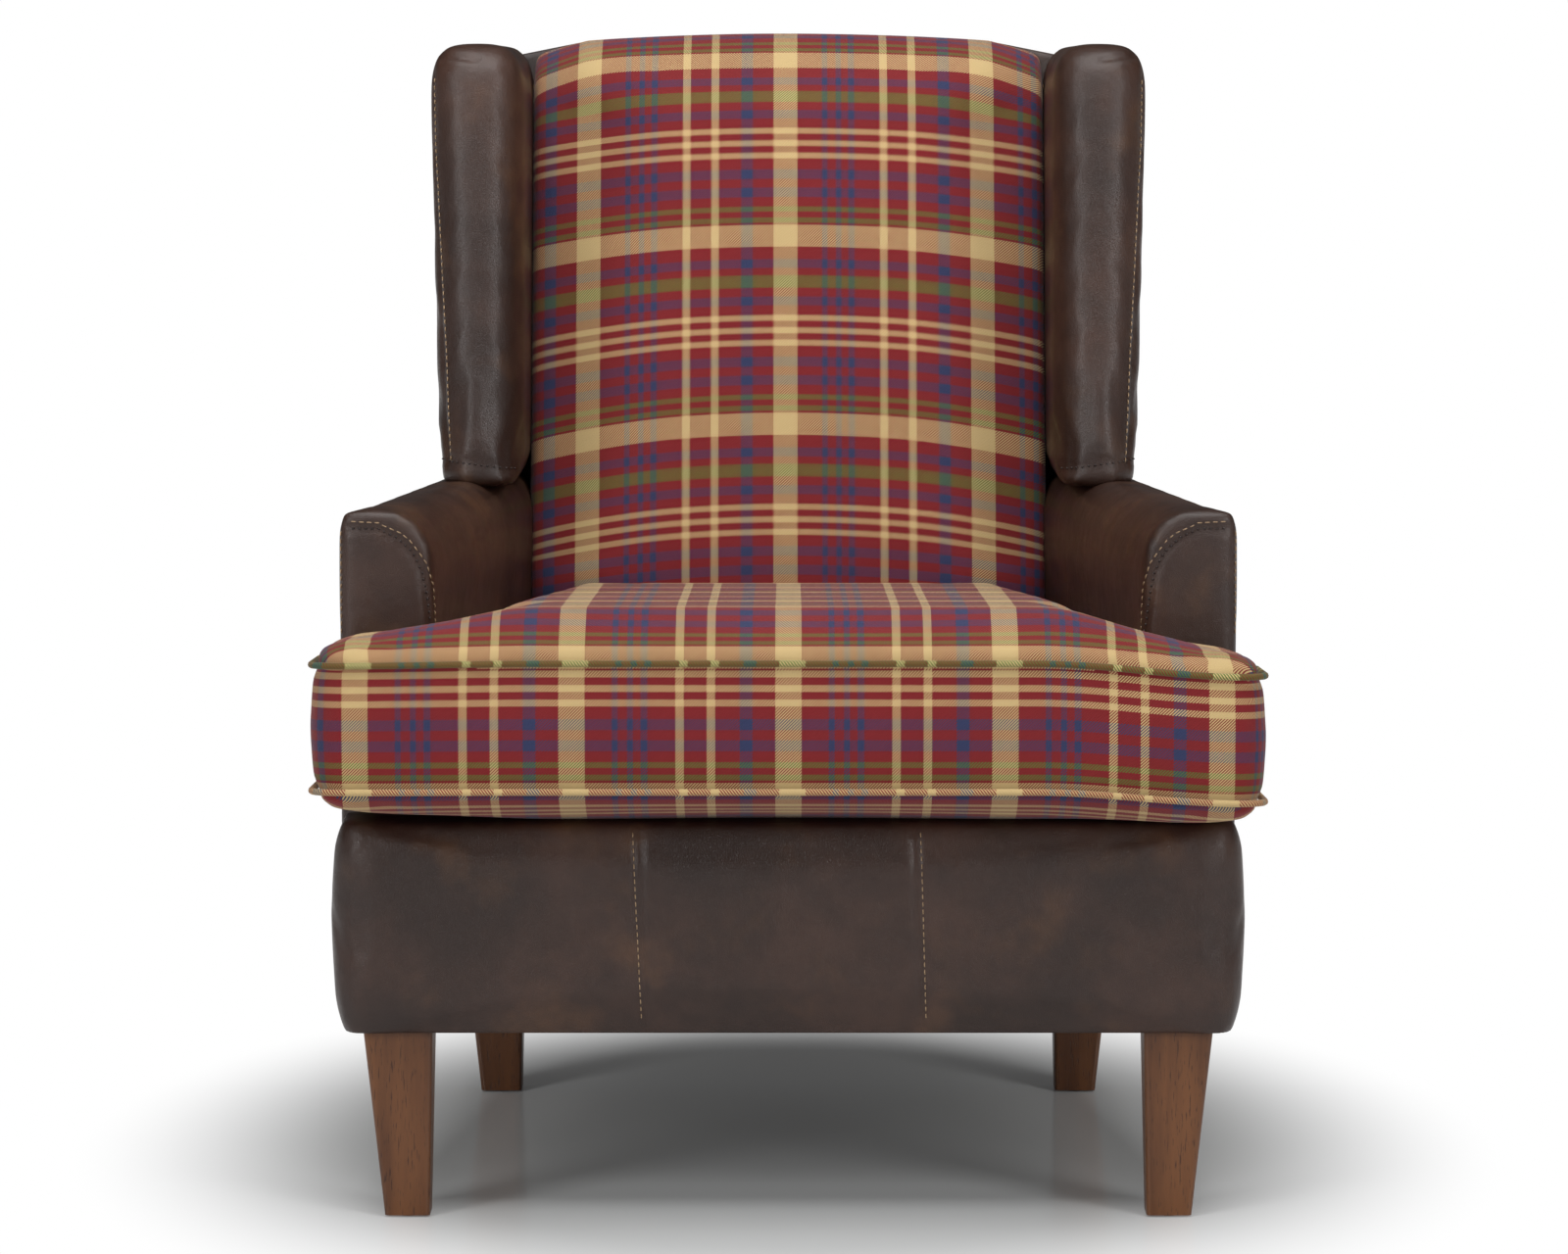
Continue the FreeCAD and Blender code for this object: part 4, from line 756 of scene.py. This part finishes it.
CENTRE_STRIPE = 0.0595 * SETT
TOP_LAY, BAND_LAY, LOW_LAY = -0.0383, 0.0784, 0.1074
EDGE_ROLL = 0.034
ROUND_JUMP = float(np.linalg.norm(np.roll(WIDEST, -1, axis=0) - WIDEST, axis=1).sum())
skin = to_deck(points_of(cushion))
front_middle = run_round(np.array([[0.0, PLAN[0][1], 0.0]]), WIDEST)[0]
turned = normals_of(cushion) @ np.array(DECK.inverted().to_3x3()).T
level = skin[:, 2]
fall = np.maximum(0, SEAM_HIGH + EDGE_ROLL - level) * (level > SEAM_MIDDLE)
spread = (0.5 * fall * np.sqrt(np.clip(fall / EDGE_ROLL, 0, 1)))[:, None]
lean = turned[:, :2] / np.maximum(np.abs(turned[:, :1]) + np.abs(turned[:, 1:2]), 1e-6)
flat = skin[:, :2] + lean * spread
edge = np.zeros(len(skin))
high = settle(np.stack([skin[:, 0], skin[:, 1], edge + SEAM_HIGH], axis=1))[:, 2]
low = settle(np.stack([skin[:, 0], skin[:, 1], edge + SEAM_LOW], axis=1))[:, 2]
share = (level - low) / (high - low)
top_lay = np.stack([flat[:, 0] + CENTRE_STRIPE, TOP_LAY - flat[:, 1]], axis=1)
band_lay = np.stack([run_round(skin, WIDEST) - front_middle + CENTRE_STRIPE,
                     BAND_LAY + (1 - share) * (SEAM_HIGH - SEAM_LOW)], axis=1)
low_lay = np.stack([skin[:, 0] + CENTRE_STRIPE, LOW_LAY + skin[:, 1]], axis=1)
lay_cloth(cushion, [top_lay, band_lay, low_lay],
          np.where(share > 1, 0.0, np.where(share < 0, 2.0, 1.0)))
done(cushion, TARTAN, "seat_cushion", CUSHION_NODES)

# %% [markdown]
# ## Piping
# The seams carry piping: cord in a strip of the same cloth, cut along the roll, so that one
# stripe runs round it. The upper strip shows the green stripe, the lower one the cream.


# %% piping
PIPING_RADIUS, STRIP_STEP = 0.0028, 0.0012
GREEN_STRIPE, CREAM_STRIPE = 0.0525, 0.0104


def piping(name, level, lay, node):
    path = seam_line(level)
    item, runs = tube(name, path, PIPING_RADIUS)
    item.data.uv_layers.new(name="cloth")
    layer = item.data.uv_layers["cloth"].data
    count = len(path)
    for face in item.data.polygons:
        for corner, loop in enumerate(face.loop_indices):
            point = face.vertices[corner]
            ring, turn = divmod(point, TUBE_SIDES)
            if ring == 0 and face.vertices[0] // TUBE_SIDES == count - 1:
                ring = count
            strip = face.index % TUBE_SIDES
            side = TUBE_SIDES if turn == 0 and strip == TUBE_SIDES - 1 else turn
            if strip >= TUBE_SIDES // 2:
                side -= TUBE_SIDES
            layer[loop].uv = (runs[ring] - front_middle + CENTRE_STRIPE, lay + side * STRIP_STEP)
    return done(item, TARTAN, "seat_cushion", [node])


piping("cushion_top_piping", SEAM_HIGH, GREEN_STRIPE, "cushion_top_welt")
piping("cushion_bottom_piping", SEAM_LOW, CREAM_STRIPE, "cushion_bottom_welt")

# %% [markdown]
# ## Inside back
# The inside back is a thick pad under tartan, pulled over the top and down behind. Its pattern
# was laid by eye, so its stripes sag a little toward the wings. The pattern follows the
# length of the cloth: up the face, over the top roll and down behind.

# %% inside back
BACK_NODES = ["inside_back_pad", "inside_back_cover"]
BACK_HALF, BACK_GROW, ROUND_CORNER_FROM = 0.236, 1.012, 0.78
ARCH_DROP, CORNER_DROP = 0.006, 0.009
back = blank("inside_back_upholstery", BACK_NODES, voxel=0.0105, hull=True, shrink=0.003)
puff(back, pressure=3.0, cap=0.006, pinned=climb(np.abs(points_of(back)[:, 0]), 0.205, 0.225))
finish_with(back, "SUBSURF", levels=1, render_levels=1)
places = points_of(back)
near_top = climb(places[:, 2], 0.85, 0.95)
from_middle = np.abs(places[:, 0]) / BACK_HALF
corner = np.clip(from_middle - ROUND_CORNER_FROM, 0, 1) / (1 - ROUND_CORNER_FROM)
places[:, 2] -= near_top * (ARCH_DROP * from_middle ** 2 + CORNER_DROP * corner)
places[:, 0] *= BACK_GROW
set_points(back, places)

# %% inside back cloth
HUB = (0.30, 0.62)
SLICE_HALF, WINDOW = 0.010, 9
LINE_UP, LINE_DEPTH = 0.798, 0.30
BACK_REPEAT, BACK_OFF_CENTRE = 0.180, 0.0027
TOP_SAG, LOWER_SAG = 0.014, 0.008
middle_slice = places[np.abs(places[:, 0]) < SLICE_HALF][:, 1:]
turns = np.degrees(np.arctan2(middle_slice[:, 1] - HUB[1], middle_slice[:, 0] - HUB[0])) % 360
on_front = (turns > 60) & (turns < 240)
profile = middle_slice[on_front][np.argsort(-turns[on_front])]
even = np.ones(WINDOW) / WINDOW
smoothed = np.stack([np.convolve(profile[:, k], even, mode="valid") for k in (0, 1)], axis=1)
profile = dense(np.column_stack([smoothed, np.zeros(len(smoothed))])[::6], 0.003)
runs = run_round(places[:, 1:], profile, closed=False)
on_face = profile[profile[:, 0] < LINE_DEPTH]
nearest_up = np.abs(on_face[:, 1] - LINE_UP).argmin()
zero = run_round(on_face[[nearest_up]], profile, closed=False)[0]
sag = TOP_SAG + LOWER_SAG * climb(places[:, 2], 0.85, 0.60)
back_lay = np.stack([(places[:, 0] + BACK_OFF_CENTRE) * SETT / BACK_REPEAT + CENTRE_STRIPE,
                     zero - runs - sag * from_middle ** 2], axis=1)
lay_cloth(back, [back_lay], np.zeros(len(places)))
done(back, TARTAN, "frame", BACK_NODES)
print("cloth up the middle:", round(float(runs.max()), 3), "m")

# %% [markdown]
# ## Wings
# Each wing is foam on a board under leather. The inside leather turns round the front edge and
# meets the outer strip in a seam, and a row of tan topstitching holds the fold beside it.


# %% wings
def mirrored(line, side):
    return [(side * x, y, z) for x, y, z in line]


SIDES = (("right", 1), ("left", -1))
FROM_FRONT = (0, 1, 0)
EDGE_BAND, DRAWN = 0.006, 0.03
SEAM_WIDTH = 0.0035
PUNCHED = {"length": 0.0022, "pitch": 0.0052, "thick": 0.0008}
WING_LEVELS = (0.935, 0.922, 0.872, 0.833, 0.756, 0.688, 0.635, 0.592)
STITCH_INSET = (0.004, 0.0045, 0.0050, 0.0062, 0.0085, 0.0105, 0.0108, 0.0095)
SEAM_INSET = (0.0018, 0.0020, 0.0022, 0.0030, 0.0048, 0.0062, 0.0064, 0.0056)
WING_TOP = [(0.314, 0, 0.951), (0.296, 0, 0.952), (0.280, 0, 0.949)]
WING_FOOT = [(0.308, 0, 0.5955), (0.285, 0, 0.593), (0.262, 0, 0.590), (0.242, 0, 0.587)]
WING_HOLD = (0.60, 0.59)
WING_BOTTOM = 0.571


def front_line(item, line, side):
    """A line seen from the front, laid onto the skin."""
    laid = onto(item, dense(mirrored(line, side)), toward=FROM_FRONT)
    return np.array([tuple(place) for place, _ in laid])


def edge_line(item, side, levels, insets):
    """A line that keeps its distance from the outer edge, as seen from the front."""
    points = points_of(item)
    line = []
    for level, inset in zip(levels, insets):
        near = points[np.abs(points[:, 2] - level) < EDGE_BAND]
        line.append((side * ((side * near[:, 0]).max() - inset), 0, level))
    return line


def stretch_down(item, bottom):
    """Draws the lowest 30 mm down, so that the leather meets what is under it."""
    points = points_of(item)
    lowest = points[:, 2].min()
    share = climb(points[:, 2], lowest + DRAWN, lowest)
    points[:, 2] -= share * (lowest - bottom)
    set_points(item, points)


for word, side in SIDES:
    nodes = [word + "_wing_pad", word + "_wing_cover", word + "_outer_wing_panel"]
    wing = blank(word + "_wing_leather", nodes, voxel=0.009, hull=True, shrink=0.002)
    puff(wing, pressure=1.6, cap=0.0035, pinned=climb(points_of(wing)[:, 2], *WING_HOLD))
    finish_with(wing, "SUBSURF", levels=1, render_levels=1)
    stretch_down(wing, WING_BOTTOM)
    seam = edge_line(wing, side, WING_LEVELS, SEAM_INSET)
    sewn = edge_line(wing, side, WING_LEVELS, STITCH_INSET)
    press_seam(wing, front_line(wing, seam, 1), SEAM_WIDTH, depth=0.0030)
    press_seam(wing, front_line(wing, WING_TOP, side), SEAM_WIDTH, depth=0.0022)
    press_seam(wing, front_line(wing, WING_FOOT, side), SEAM_WIDTH, depth=0.0020)
    done(wing, LEATHER, "frame", nodes)
    stitches(word + "_wing_foot_seam", wing, mirrored(WING_FOOT, side), "frame", DARK_THREAD,
             "leather", toward=FROM_FRONT, **PUNCHED)
    stitches(word + "_wing_stitching", wing, sewn, "frame", THREAD, "leather",
             toward=FROM_FRONT)

# %% [markdown]
# ## Arms
# An arm's leather comes over the pad and round to the front, where it meets the facing, a flat
# front panel with a rounded inner shoulder. The seam between them is punched, and a second
# row in tan thread runs beside it.

# %% arms
FACING_SEAM = [(0.3657, 0, 0.5626), (0.3404, 0, 0.5626), (0.3249, 0, 0.5553), (0.311, 0, 0.543),
               (0.3037, 0, 0.5267), (0.2996, 0, 0.5079), (0.2971, 0, 0.4834), (0.2955, 0, 0.4753),
               (0.2952, 0, 0.440), (0.295, 0, 0.300)]
FACING_STITCH = [(0.3665, 0, 0.5683), (0.3404, 0, 0.5671), (0.3208, 0, 0.5586), (0.3135, 0, 0.5528),
                 (0.3061, 0, 0.543), (0.2996, 0, 0.5332), (0.2947, 0, 0.5145), (0.2938, 0, 0.4957),
                 (0.2935, 0, 0.470)]
PUNCHED_CORNERS = 8
ARM_HOLD = (0.50, 0.45)
OUTER_STITCH = [(0.3706, 0, 0.564), (0.3706, 0, 0.472)]

for word, side in SIDES:
    nodes = [word + "_arm_pad", word + "_arm_cover", word + "_arm_facing"]
    arm = blank(word + "_arm_leather", nodes, voxel=0.009, hull=True, shrink=0.002)
    puff(arm, pressure=1.2, cap=0.003, pinned=climb(points_of(arm)[:, 2], *ARM_HOLD))
    finish_with(arm, "SUBSURF", levels=1, render_levels=1)
    press_seam(arm, front_line(arm, FACING_SEAM, side), width=0.0032, depth=0.0026)
    done(arm, LEATHER, "frame", nodes)
    punched = mirrored(FACING_SEAM[:PUNCHED_CORNERS], side)
    stitches(word + "_arm_punched_seam", arm, punched, "frame", DARK_THREAD, "leather",
             toward=FROM_FRONT, **PUNCHED)
    for row, line in (("_arm_stitching", FACING_STITCH), ("_arm_outer_stitching", OUTER_STITCH)):
        stitches(word + row, arm, mirrored(line, side), "frame", THREAD, "leather",
                 toward=FROM_FRONT)

# %% [markdown]
# ## Apron
# The apron is a padded front, sewn from three panels of leather. Its two upright seams are
# turned one way and topstitched beside the crease.

# %% apron
APRON_NODES = ["apron_pad", "apron_left_panel", "apron_centre_panel", "apron_right_panel"]
APRON_CREASES = ([(-0.1225, 0, 0.325), (-0.1153, 0, 0.160)], [(0.1033, 0, 0.325), (0.1097, 0, 0.160)])
APRON_STITCHES = ([(-0.1273, 0, 0.325), (-0.120, 0, 0.165)], [(0.108, 0, 0.325), (0.1129, 0, 0.165)])
APRON_HOLD = (-0.31, -0.30)
APRON_BOTTOM, FOOT_DROP = 0.1545, 0.010
apron = blank("apron_leather", APRON_NODES, voxel=0.0075, hull=True, shrink=0.003)
puff(apron, pressure=1.2, cap=0.003, pinned=climb(points_of(apron)[:, 1], *APRON_HOLD))
finish_with(apron, "SUBSURF", levels=1, render_levels=1)
places = points_of(apron)
lowest = places[:, 2].min()
places[:, 2] -= climb(places[:, 2], lowest + 0.05, lowest + 0.01) * FOOT_DROP
places[:, 2] = np.maximum(places[:, 2], APRON_BOTTOM)
set_points(apron, places)
for crease in APRON_CREASES:
    press_seam(apron, front_line(apron, crease, 1), width=0.0030, depth=0.0028)
done(apron, LEATHER, "frame", APRON_NODES)
for number, line in enumerate(APRON_STITCHES):
    stitches("apron_stitching_" + str(number + 1), apron, line, "frame", THREAD, "leather",
             toward=FROM_FRONT)

# %% [markdown]
# ## Outer arms and outer back
# The outsides are flat leather over the frame, tacked under the rails. A border of tan
# topstitching follows their edges.

# %% outer arms and back
FROM_BEHIND = (0, -1, 0)
ARM_BORDER = [(0.5, -0.268, 0.49), (0.5, -0.268, 0.172), (0.5, 0.318, 0.172), (0.5, 0.318, 0.488)]
for word, side in SIDES:
    node = word + "_outer_arm_panel"
    panel = blank(word + "_outer_arm_leather", [node], voxel=0.0045, rounds=12)
    done(panel, LEATHER, "frame", [node])
    stitches(word + "_outer_arm_stitching", panel, mirrored(ARM_BORDER, side), "frame", THREAD,
             "leather", toward=(-side, 0, 0))

TOP_CORNER_DROP = 0.016
outer_back = blank("outer_back_leather", ["outer_back_panel"], voxel=0.0036, rounds=14)
places = points_of(outer_back)
corner = climb(np.abs(places[:, 0]), 0.19, 0.27) * climb(places[:, 2], 0.90, 0.96)
places[:, 2] -= TOP_CORNER_DROP * corner
set_points(outer_back, places)
done(outer_back, LEATHER, "frame", ["outer_back_panel"])
BACK_BORDER = [(-0.224, 1, 0.172), (-0.272, 1, 0.60), (-0.276, 1, 0.945), (0.276, 1, 0.945),
               (0.272, 1, 0.60), (0.224, 1, 0.172)]
stitches("outer_back_stitching", outer_back, BACK_BORDER, "frame", THREAD, "leather",
         toward=FROM_BEHIND)

# %% [markdown]
# ## Inside and underneath
# Under the cushion a padded deck lies on zigzag springs, the back is carried by woven straps,
# and a thin black cambric closes the underside. The hard parts have the right shape already, so
# they keep it and only take their finish. The cloths are cut fine and sag a little.

# %% deck, straps and cambric
DECK_HALF, DECK_HOLD = 0.29, 0.85
deck = blank("seat_deck_pad", ["seat_deck"], voxel=0.008, shrink=0.001)
to_edge = np.abs(points_of(deck)[:, 0]) / DECK_HALF
puff(deck, pressure=0.8, cap=0.003, pinned=np.clip(to_edge - DECK_HOLD, 0, 1) * 6)
done(deck, DECK_CLOTH, "frame", ["seat_deck"])


def fine_copy(name, node, cuts):
    """A copy of a thin solid, cut fine enough to follow a sag."""
    item = mesh_piece(name, [], [])
    mesh = bmesh.new()
    mesh.from_mesh(frame["nodes"][node].data)
    bmesh.ops.remove_doubles(mesh, verts=mesh.verts, dist=MERGE_GAP)
    bmesh.ops.triangulate(mesh, faces=mesh.faces)
    bmesh.ops.subdivide_edges(mesh, edges=mesh.edges, cuts=cuts, use_grid_fill=True)
    bmesh.ops.recalc_face_normals(mesh, faces=mesh.faces)
    mesh.to_mesh(item.data)
    mesh.free()
    return item


def inward(values, middle, half):
    """1 in the middle, 0 at the edges."""
    return np.clip(1 - ((values - middle) / half) ** 2, 0, 1)


# %% thin cloths
CAMBRIC_SAG, STRAP_WAVE, STRAP_WAVES = 0.004, 0.0008, 60
cambric = fine_copy("dust_cover_cambric", "dust_cover", cuts=9)
places = points_of(cambric)
places[:, 2] -= CAMBRIC_SAG * inward(places[:, 0], 0, 0.288) * inward(places[:, 1], -0.028, 0.335)
set_points(cambric, places)
done(cambric, CAMBRIC, "frame", ["dust_cover"], smooth=False)

straps = fine_copy("back_webbing_straps", "back_webbing", cuts=7)
places = points_of(straps)
wave = np.sin(places[:, 0] * STRAP_WAVES)
places[:, 1] += STRAP_WAVE * wave * inward(places[:, 0], 0, 0.23)
set_points(straps, places)
done(straps, WEBBING, "frame", ["back_webbing"], smooth=False)

tape = fine_copy("cushion_zip_tape", "cushion_zip", cuts=7)
done(tape, ZIP_TAPE, "seat_cushion", ["cushion_zip"], smooth=False)
ZIP_LINE = [(-0.206, 0, 0.386), (0.206, 0, 0.386)]
stitches("cushion_zip_teeth", tape, ZIP_LINE, "seat_cushion", BRASS, "zip_brass",
         length=0.0042, pitch=0.0026, thick=0.0008, toward=FROM_BEHIND)

# %% hard parts
WOODEN = ("_rail", "_post", "_board", "_blocks")

FINISHES = {
    "leg_wood": (LEG_WOOD, ["front_right_leg", "front_left_leg", "rear_right_leg", "rear_left_leg"]),
    "frame_wood": (FRAME_WOOD, [name for name in frame["nodes"] if name.endswith(WOODEN)]),
    "steel": (STEEL, ["seat_springs", "spring_clips", "leg_bolts", "leg_nuts"]),
    "glide_plastic": (PLASTIC, ["leg_glides"]),
    "zip_brass": (BRASS, ["zip_slider"]),
}
for slot, (finish, nodes) in FINISHES.items():
    for name in nodes:
        piece = frame["nodes"][name]
        piece.data.materials.clear()
        piece.data.materials.append(finish)
    print(slot, len(nodes))

# %% [markdown]
# ## Floor, light and camera
# A pale studio: a large soft light overhead, two softer ones at the front, and a floor that keeps the
# chair's shadow. Round the chair the floor is also painted grey, a painted shadow in an ellipse under the
# real one, and further out it is plain white. Seen by the camera the room is plain white.

# %% stage
bpy.ops.mesh.primitive_plane_add(size=60.0, location=(0, 0, 0))
floor = bpy.context.active_object
floor.name = "studio_floor"
# The floor's grey is a painted shadow. It shows only in the ellipse round the chair, and the real shadow
# falls on it too.
PAINTED_SHADOW_GREY, WHITE = (0.62, 0.63, 0.63, 1), (1, 1, 1, 1)
SHADOW_EDGE, PLAIN_EDGE, LEAST_WHITE = 0.45, 0.85, 0.02
ground = Finish("studio_floor_painted_shadow_to_white", Base_Color=PAINTED_SHADOW_GREY, Roughness=0.14, Specular_IOR_Level=0.4)
place = ground.object_place((1.35, 0.95, 1.0))
reach = ground.add("ShaderNodeVectorMath", {"operation": "LENGTH"}, [place], out=1)
# Mask of the painted shadow: near 0 close to the chair, where the floor stays grey, rising to 1 past the
# ellipse, where it is plain white.
far = reach.above(SHADOW_EDGE, PLAIN_EDGE)
white = ground.tree.nodes.new("ShaderNodeEmission")
white.inputs["Color"].default_value = WHITE
fade = ground.tree.nodes.new("ShaderNodeMixShader")
output = ground.tree.nodes["Material Output"]
ground.tree.links.new((far * (1 - LEAST_WHITE) + LEAST_WHITE).socket, fade.inputs[0])
ground.tree.links.new(ground.shader.outputs[0], fade.inputs[1])
ground.tree.links.new(white.outputs[0], fade.inputs[2])
ground.tree.links.new(fade.outputs[0], output.inputs["Surface"])
floor.data.materials.append(ground.material)


def soft_light(name, place, aim, width, height, power):
    lamp = bpy.data.lights.new(name, "AREA")
    lamp.shape = "RECTANGLE"
    lamp.size, lamp.size_y = width, height
    lamp.energy = power
    item = bpy.data.objects.new(name, lamp)
    item.location = place
    item.rotation_euler = (Vector(aim) - Vector(place)).to_track_quat("-Z", "Y").to_euler()
    scene.collection.objects.link(item)


soft_light("overhead", (0, -0.9, 3.0), (0, 0, 0.3), 2.6, 2.2, 100)
soft_light("front_left", (-2.8, -3.6, 1.9), (0, 0, 0.5), 1.2, 2.4, 78)
soft_light("front_right", (2.8, -3.6, 1.9), (0, 0, 0.5), 1.2, 2.4, 78)

room = bpy.data.worlds.new("room")
scene.world = room
room.use_nodes = True
sky = room.node_tree.nodes["Background"]
seen_sky = room.node_tree.nodes.new("ShaderNodeLightPath")
plain_sky = room.node_tree.nodes.new("ShaderNodeBackground")
mixed = room.node_tree.nodes.new("ShaderNodeMixShader")
ROOM_LIGHT = 0.08
sky.inputs["Color"].default_value = WHITE
sky.inputs["Strength"].default_value = ROOM_LIGHT
plain_sky.inputs["Color"].default_value = WHITE
room.node_tree.links.new(seen_sky.outputs["Is Camera Ray"], mixed.inputs[0])
room.node_tree.links.new(sky.outputs[0], mixed.inputs[1])
room.node_tree.links.new(plain_sky.outputs[0], mixed.inputs[2])
room.node_tree.links.new(mixed.outputs[0], room.node_tree.nodes["World Output"].inputs["Surface"])

# %% camera
lens = bpy.data.cameras.new("camera")
camera = bpy.data.objects.new("camera", lens)
scene.collection.objects.link(camera)
scene.camera = camera
CAMERA_PLACE, CAMERA_TILT = (0, -5.3237, 0.9527), 5.35
camera.location = CAMERA_PLACE
camera.rotation_euler = (math.radians(90 - CAMERA_TILT), 0, 0)
lens.sensor_width = 36.0
lens.lens = 140.25
lens.shift_x = -0.0027
lens.clip_end = 100
scene.view_settings.view_transform = "Standard"
